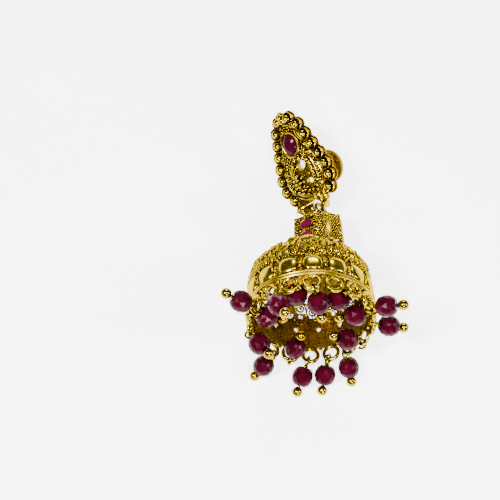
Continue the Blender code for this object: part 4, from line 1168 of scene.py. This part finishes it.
def build_stud_granules():
    piece = Piece("stud_granules")
    grain = ball(9, 6)
    path = [Vector((point.x, point.y, PLATE + 0.16)) for point in stud_outline(-0.95)]
    points = [point for point in spaced(path, 0.62)
              if (point.xy - Vector(STONE_AT)).length > 2.6
              and (point.xy - Vector(LEAF_MIDDLE)).length > 2.9]
    piece.dots(grain, points, 0.27)
    arch = [Vector((ARCH_AT[0] + 3.5 * math.cos(angle), ARCH_AT[1] + 3.5 * math.sin(angle), PLATE + 0.16))
            for angle in [math.pi * (step / 24) for step in range(2, 23)]]
    piece.dots(grain, spaced(arch, 0.66), 0.30)
    for ring, (count, size) in enumerate(((1, 0.52), (6, 0.42), (11, 0.36))):
        for step in range(count):
            angle = FULL_TURN * step / count
            point = (-2.0 + 0.85 * ring * math.cos(angle), 5.2 + 0.85 * ring * math.sin(angle),
                     PLATE + 0.45 - 0.12 * ring)
            piece.add(grain, move(*point) @ sized(size))
    for step in range(22):
        angle = FULL_TURN * step / 22
        edge = Vector((2.38 * math.cos(angle), 2.88 * math.sin(angle), PLATE + 0.28))
        point = turn(STONE_TURN, "Z") @ edge
        piece.add(grain, move(STONE_AT[0] + point.x, STONE_AT[1] + point.y, point.z) @ sized(0.26))
    for x, y, size in STUD_GRAINS:
        piece.add(grain, move(x, y, PLATE + 0.2) @ sized(size))
    piece.finish(STUD_PLACE, POLISHED)


def build_stud_crest():
    """The cluster of small balls at the tip."""
    piece = Piece("stud_crest")
    bead = ball(16, 10)
    way = (TIP - BOWL).normalized()
    side = Vector((way.y, -way.x))
    for along, across, level, size in ((1.0, 0.0, 1.2, 0.95), (1.9, -0.6, 1.3, 0.62), (1.9, 0.6, 1.2, 0.62),
                                       (1.2, -1.0, 1.2, 0.6), (1.2, 1.0, 1.1, 0.6), (2.4, 0.0, 1.3, 0.55),
                                       (1.5, 0.0, 1.9, 0.5)):
        point = TIP + way * (TIP_RADIUS - 0.5 + along) + side * across
        piece.add(bead, move(point.x, point.y, level) @ sized(size))
    piece.finish(STUD_PLACE, POLISHED)


def build_stud_leaf():
    """The folded, ribbed leaf over the hanging ring, two curls by the stone and three lobes by the ring."""
    piece = Piece("stud_leaf")
    bm = bmesh.new()
    bmesh.ops.create_cone(bm, cap_ends=True, segments=4, radius1=1.0, radius2=0.22, depth=1.6,
                          matrix=move(0, 0, 0.8))
    bmesh.ops.scale(bm, vec=(2.6, 3.0, 1.0), verts=bm.verts)
    bmesh.ops.bevel(bm, geom=bm.edges[:], offset=0.14, affect="EDGES", segments=3, profile=0.5, material=-1)
    leaf_place = move(-2.9, 0.4, 0.54) @ turn(8.6, "Z")
    piece.add(as_mesh("leaf", bm), leaf_place)
    veins = []
    for x, y in ((2.4, 0.0), (-2.4, 0.0), (0.0, 2.8), (0.0, -2.8)):
        veins.append([leaf_place @ Vector((x * part, y * part, 1.72 - 1.52 * max(part - 0.2, 0.0) / 0.8))
                      for part in (0.1, 0.3, 0.5, 0.7, 0.9, 1.0)])
    for side in (-1, 1):
        for way in (-1, 1):
            for step in range(6):
                part = 0.32 + 0.11 * step
                level = 1.70 - 1.52 * (part - 0.2) / 0.8
                low = Vector((side * 2.4 * part, 0.0, level))
                high = Vector((side * 2.4 * part * 0.45, way * 2.8 * part * 0.5, level))
                veins.append([leaf_place @ low, leaf_place @ high])
    piece.add(wires(veins, 0.17, resolution=1))
    curl = ball(28, 18)
    piece.add(curl, move(2.55, 14.3, 1.15) @ turn(20, "Z") @ stretch(0.85, 1.55, 0.85))
    piece.add(curl, move(1.9, 10.6, 1.15) @ turn(-25, "Z") @ stretch(0.55, 1.1, 0.5))
    for x, y, heading, length in ((2.5, 0.75, 35.0, 1.35), (3.5, 1.9, 50.0, 1.15), (1.2, 1.6, 10.0, 1.1)):
        piece.add(curl, move(x, y, 0.75) @ turn(heading, "Z") @ stretch(length, 0.95, 0.85))
    piece.finish(STUD_PLACE, PAINTED_LIT_GOLD, angle=50.0)


def build_stud_ruby():
    bezel = Piece("stud_bezel")
    bezel.add(oval_bezel((1.72, 2.22), 0.24, 1.05, 48), STONE_PLACE @ move(0, 0, -0.05))
    bezel.finish(STUD_PLACE, CAST)
    stone = Piece("stud_stone")
    stone.add(cut_stone((1.62, 2.12), 1.3, 16), STONE_PLACE @ move(0, 0, 0.12))
    stone.finish(STUD_PLACE, STONE_GLASS, replaces=["stud_ruby"], angle=8.0)


def build_nut():
    """The milled disc with its barrel, bored for the post."""
    piece = Piece("back_nut")
    profile = [(0.62, 3.5), (1.30, 3.5), (1.50, 3.3), (1.50, 1.2), (1.72, 0.92), (2.10, 0.80), (2.22, 0.95),
               (2.75, 0.95), (2.87, 0.80), (3.1, 0.90), (NUT_EDGE, 0.80),
               (NUT_EDGE, 0.12), (3.15, 0.0), (2.3, 0.0), (2.2, 0.12), (1.3, 0.12), (1.2, 0.0), (0.62, 0.0)]
    piece.add(turned(profile, 120, closed=True))
    tooth = prism(0.085, 0.085, 0.62, 5)
    for step in range(72):
        piece.add(tooth, turn(5.0 * step, "Z") @ move(NUT_EDGE, 0.0, 0.15))
    piece.finish(NUT_PLACE, CAST, body="nut", replaces=["screw_nut"])


def lay_table():
    bm = bmesh.new()
    bmesh.ops.create_grid(bm, x_segments=2, y_segments=2, size=0.9)
    mesh = bpy.data.meshes.new("table")
    bm.to_mesh(mesh)
    bm.free()
    mesh.materials.append(table_finish())
    table = linked("table", mesh)


place_camera()
light_studio()
lay_table()
build_bell_shell()
build_dome_ropes()
build_dome_scrolls()
build_dome_granules()
build_bosses()
build_band_trim()
build_rim_rings()
build_crown()
build_crown_trim()
build_crown_rubies()
build_top_loop()
build_drops()
build_stud_plate()
build_stud_border()
build_stud_wires()
build_stud_hood()
build_stud_granules()
build_stud_crest()
build_stud_leaf()
build_stud_ruby()
build_nut()
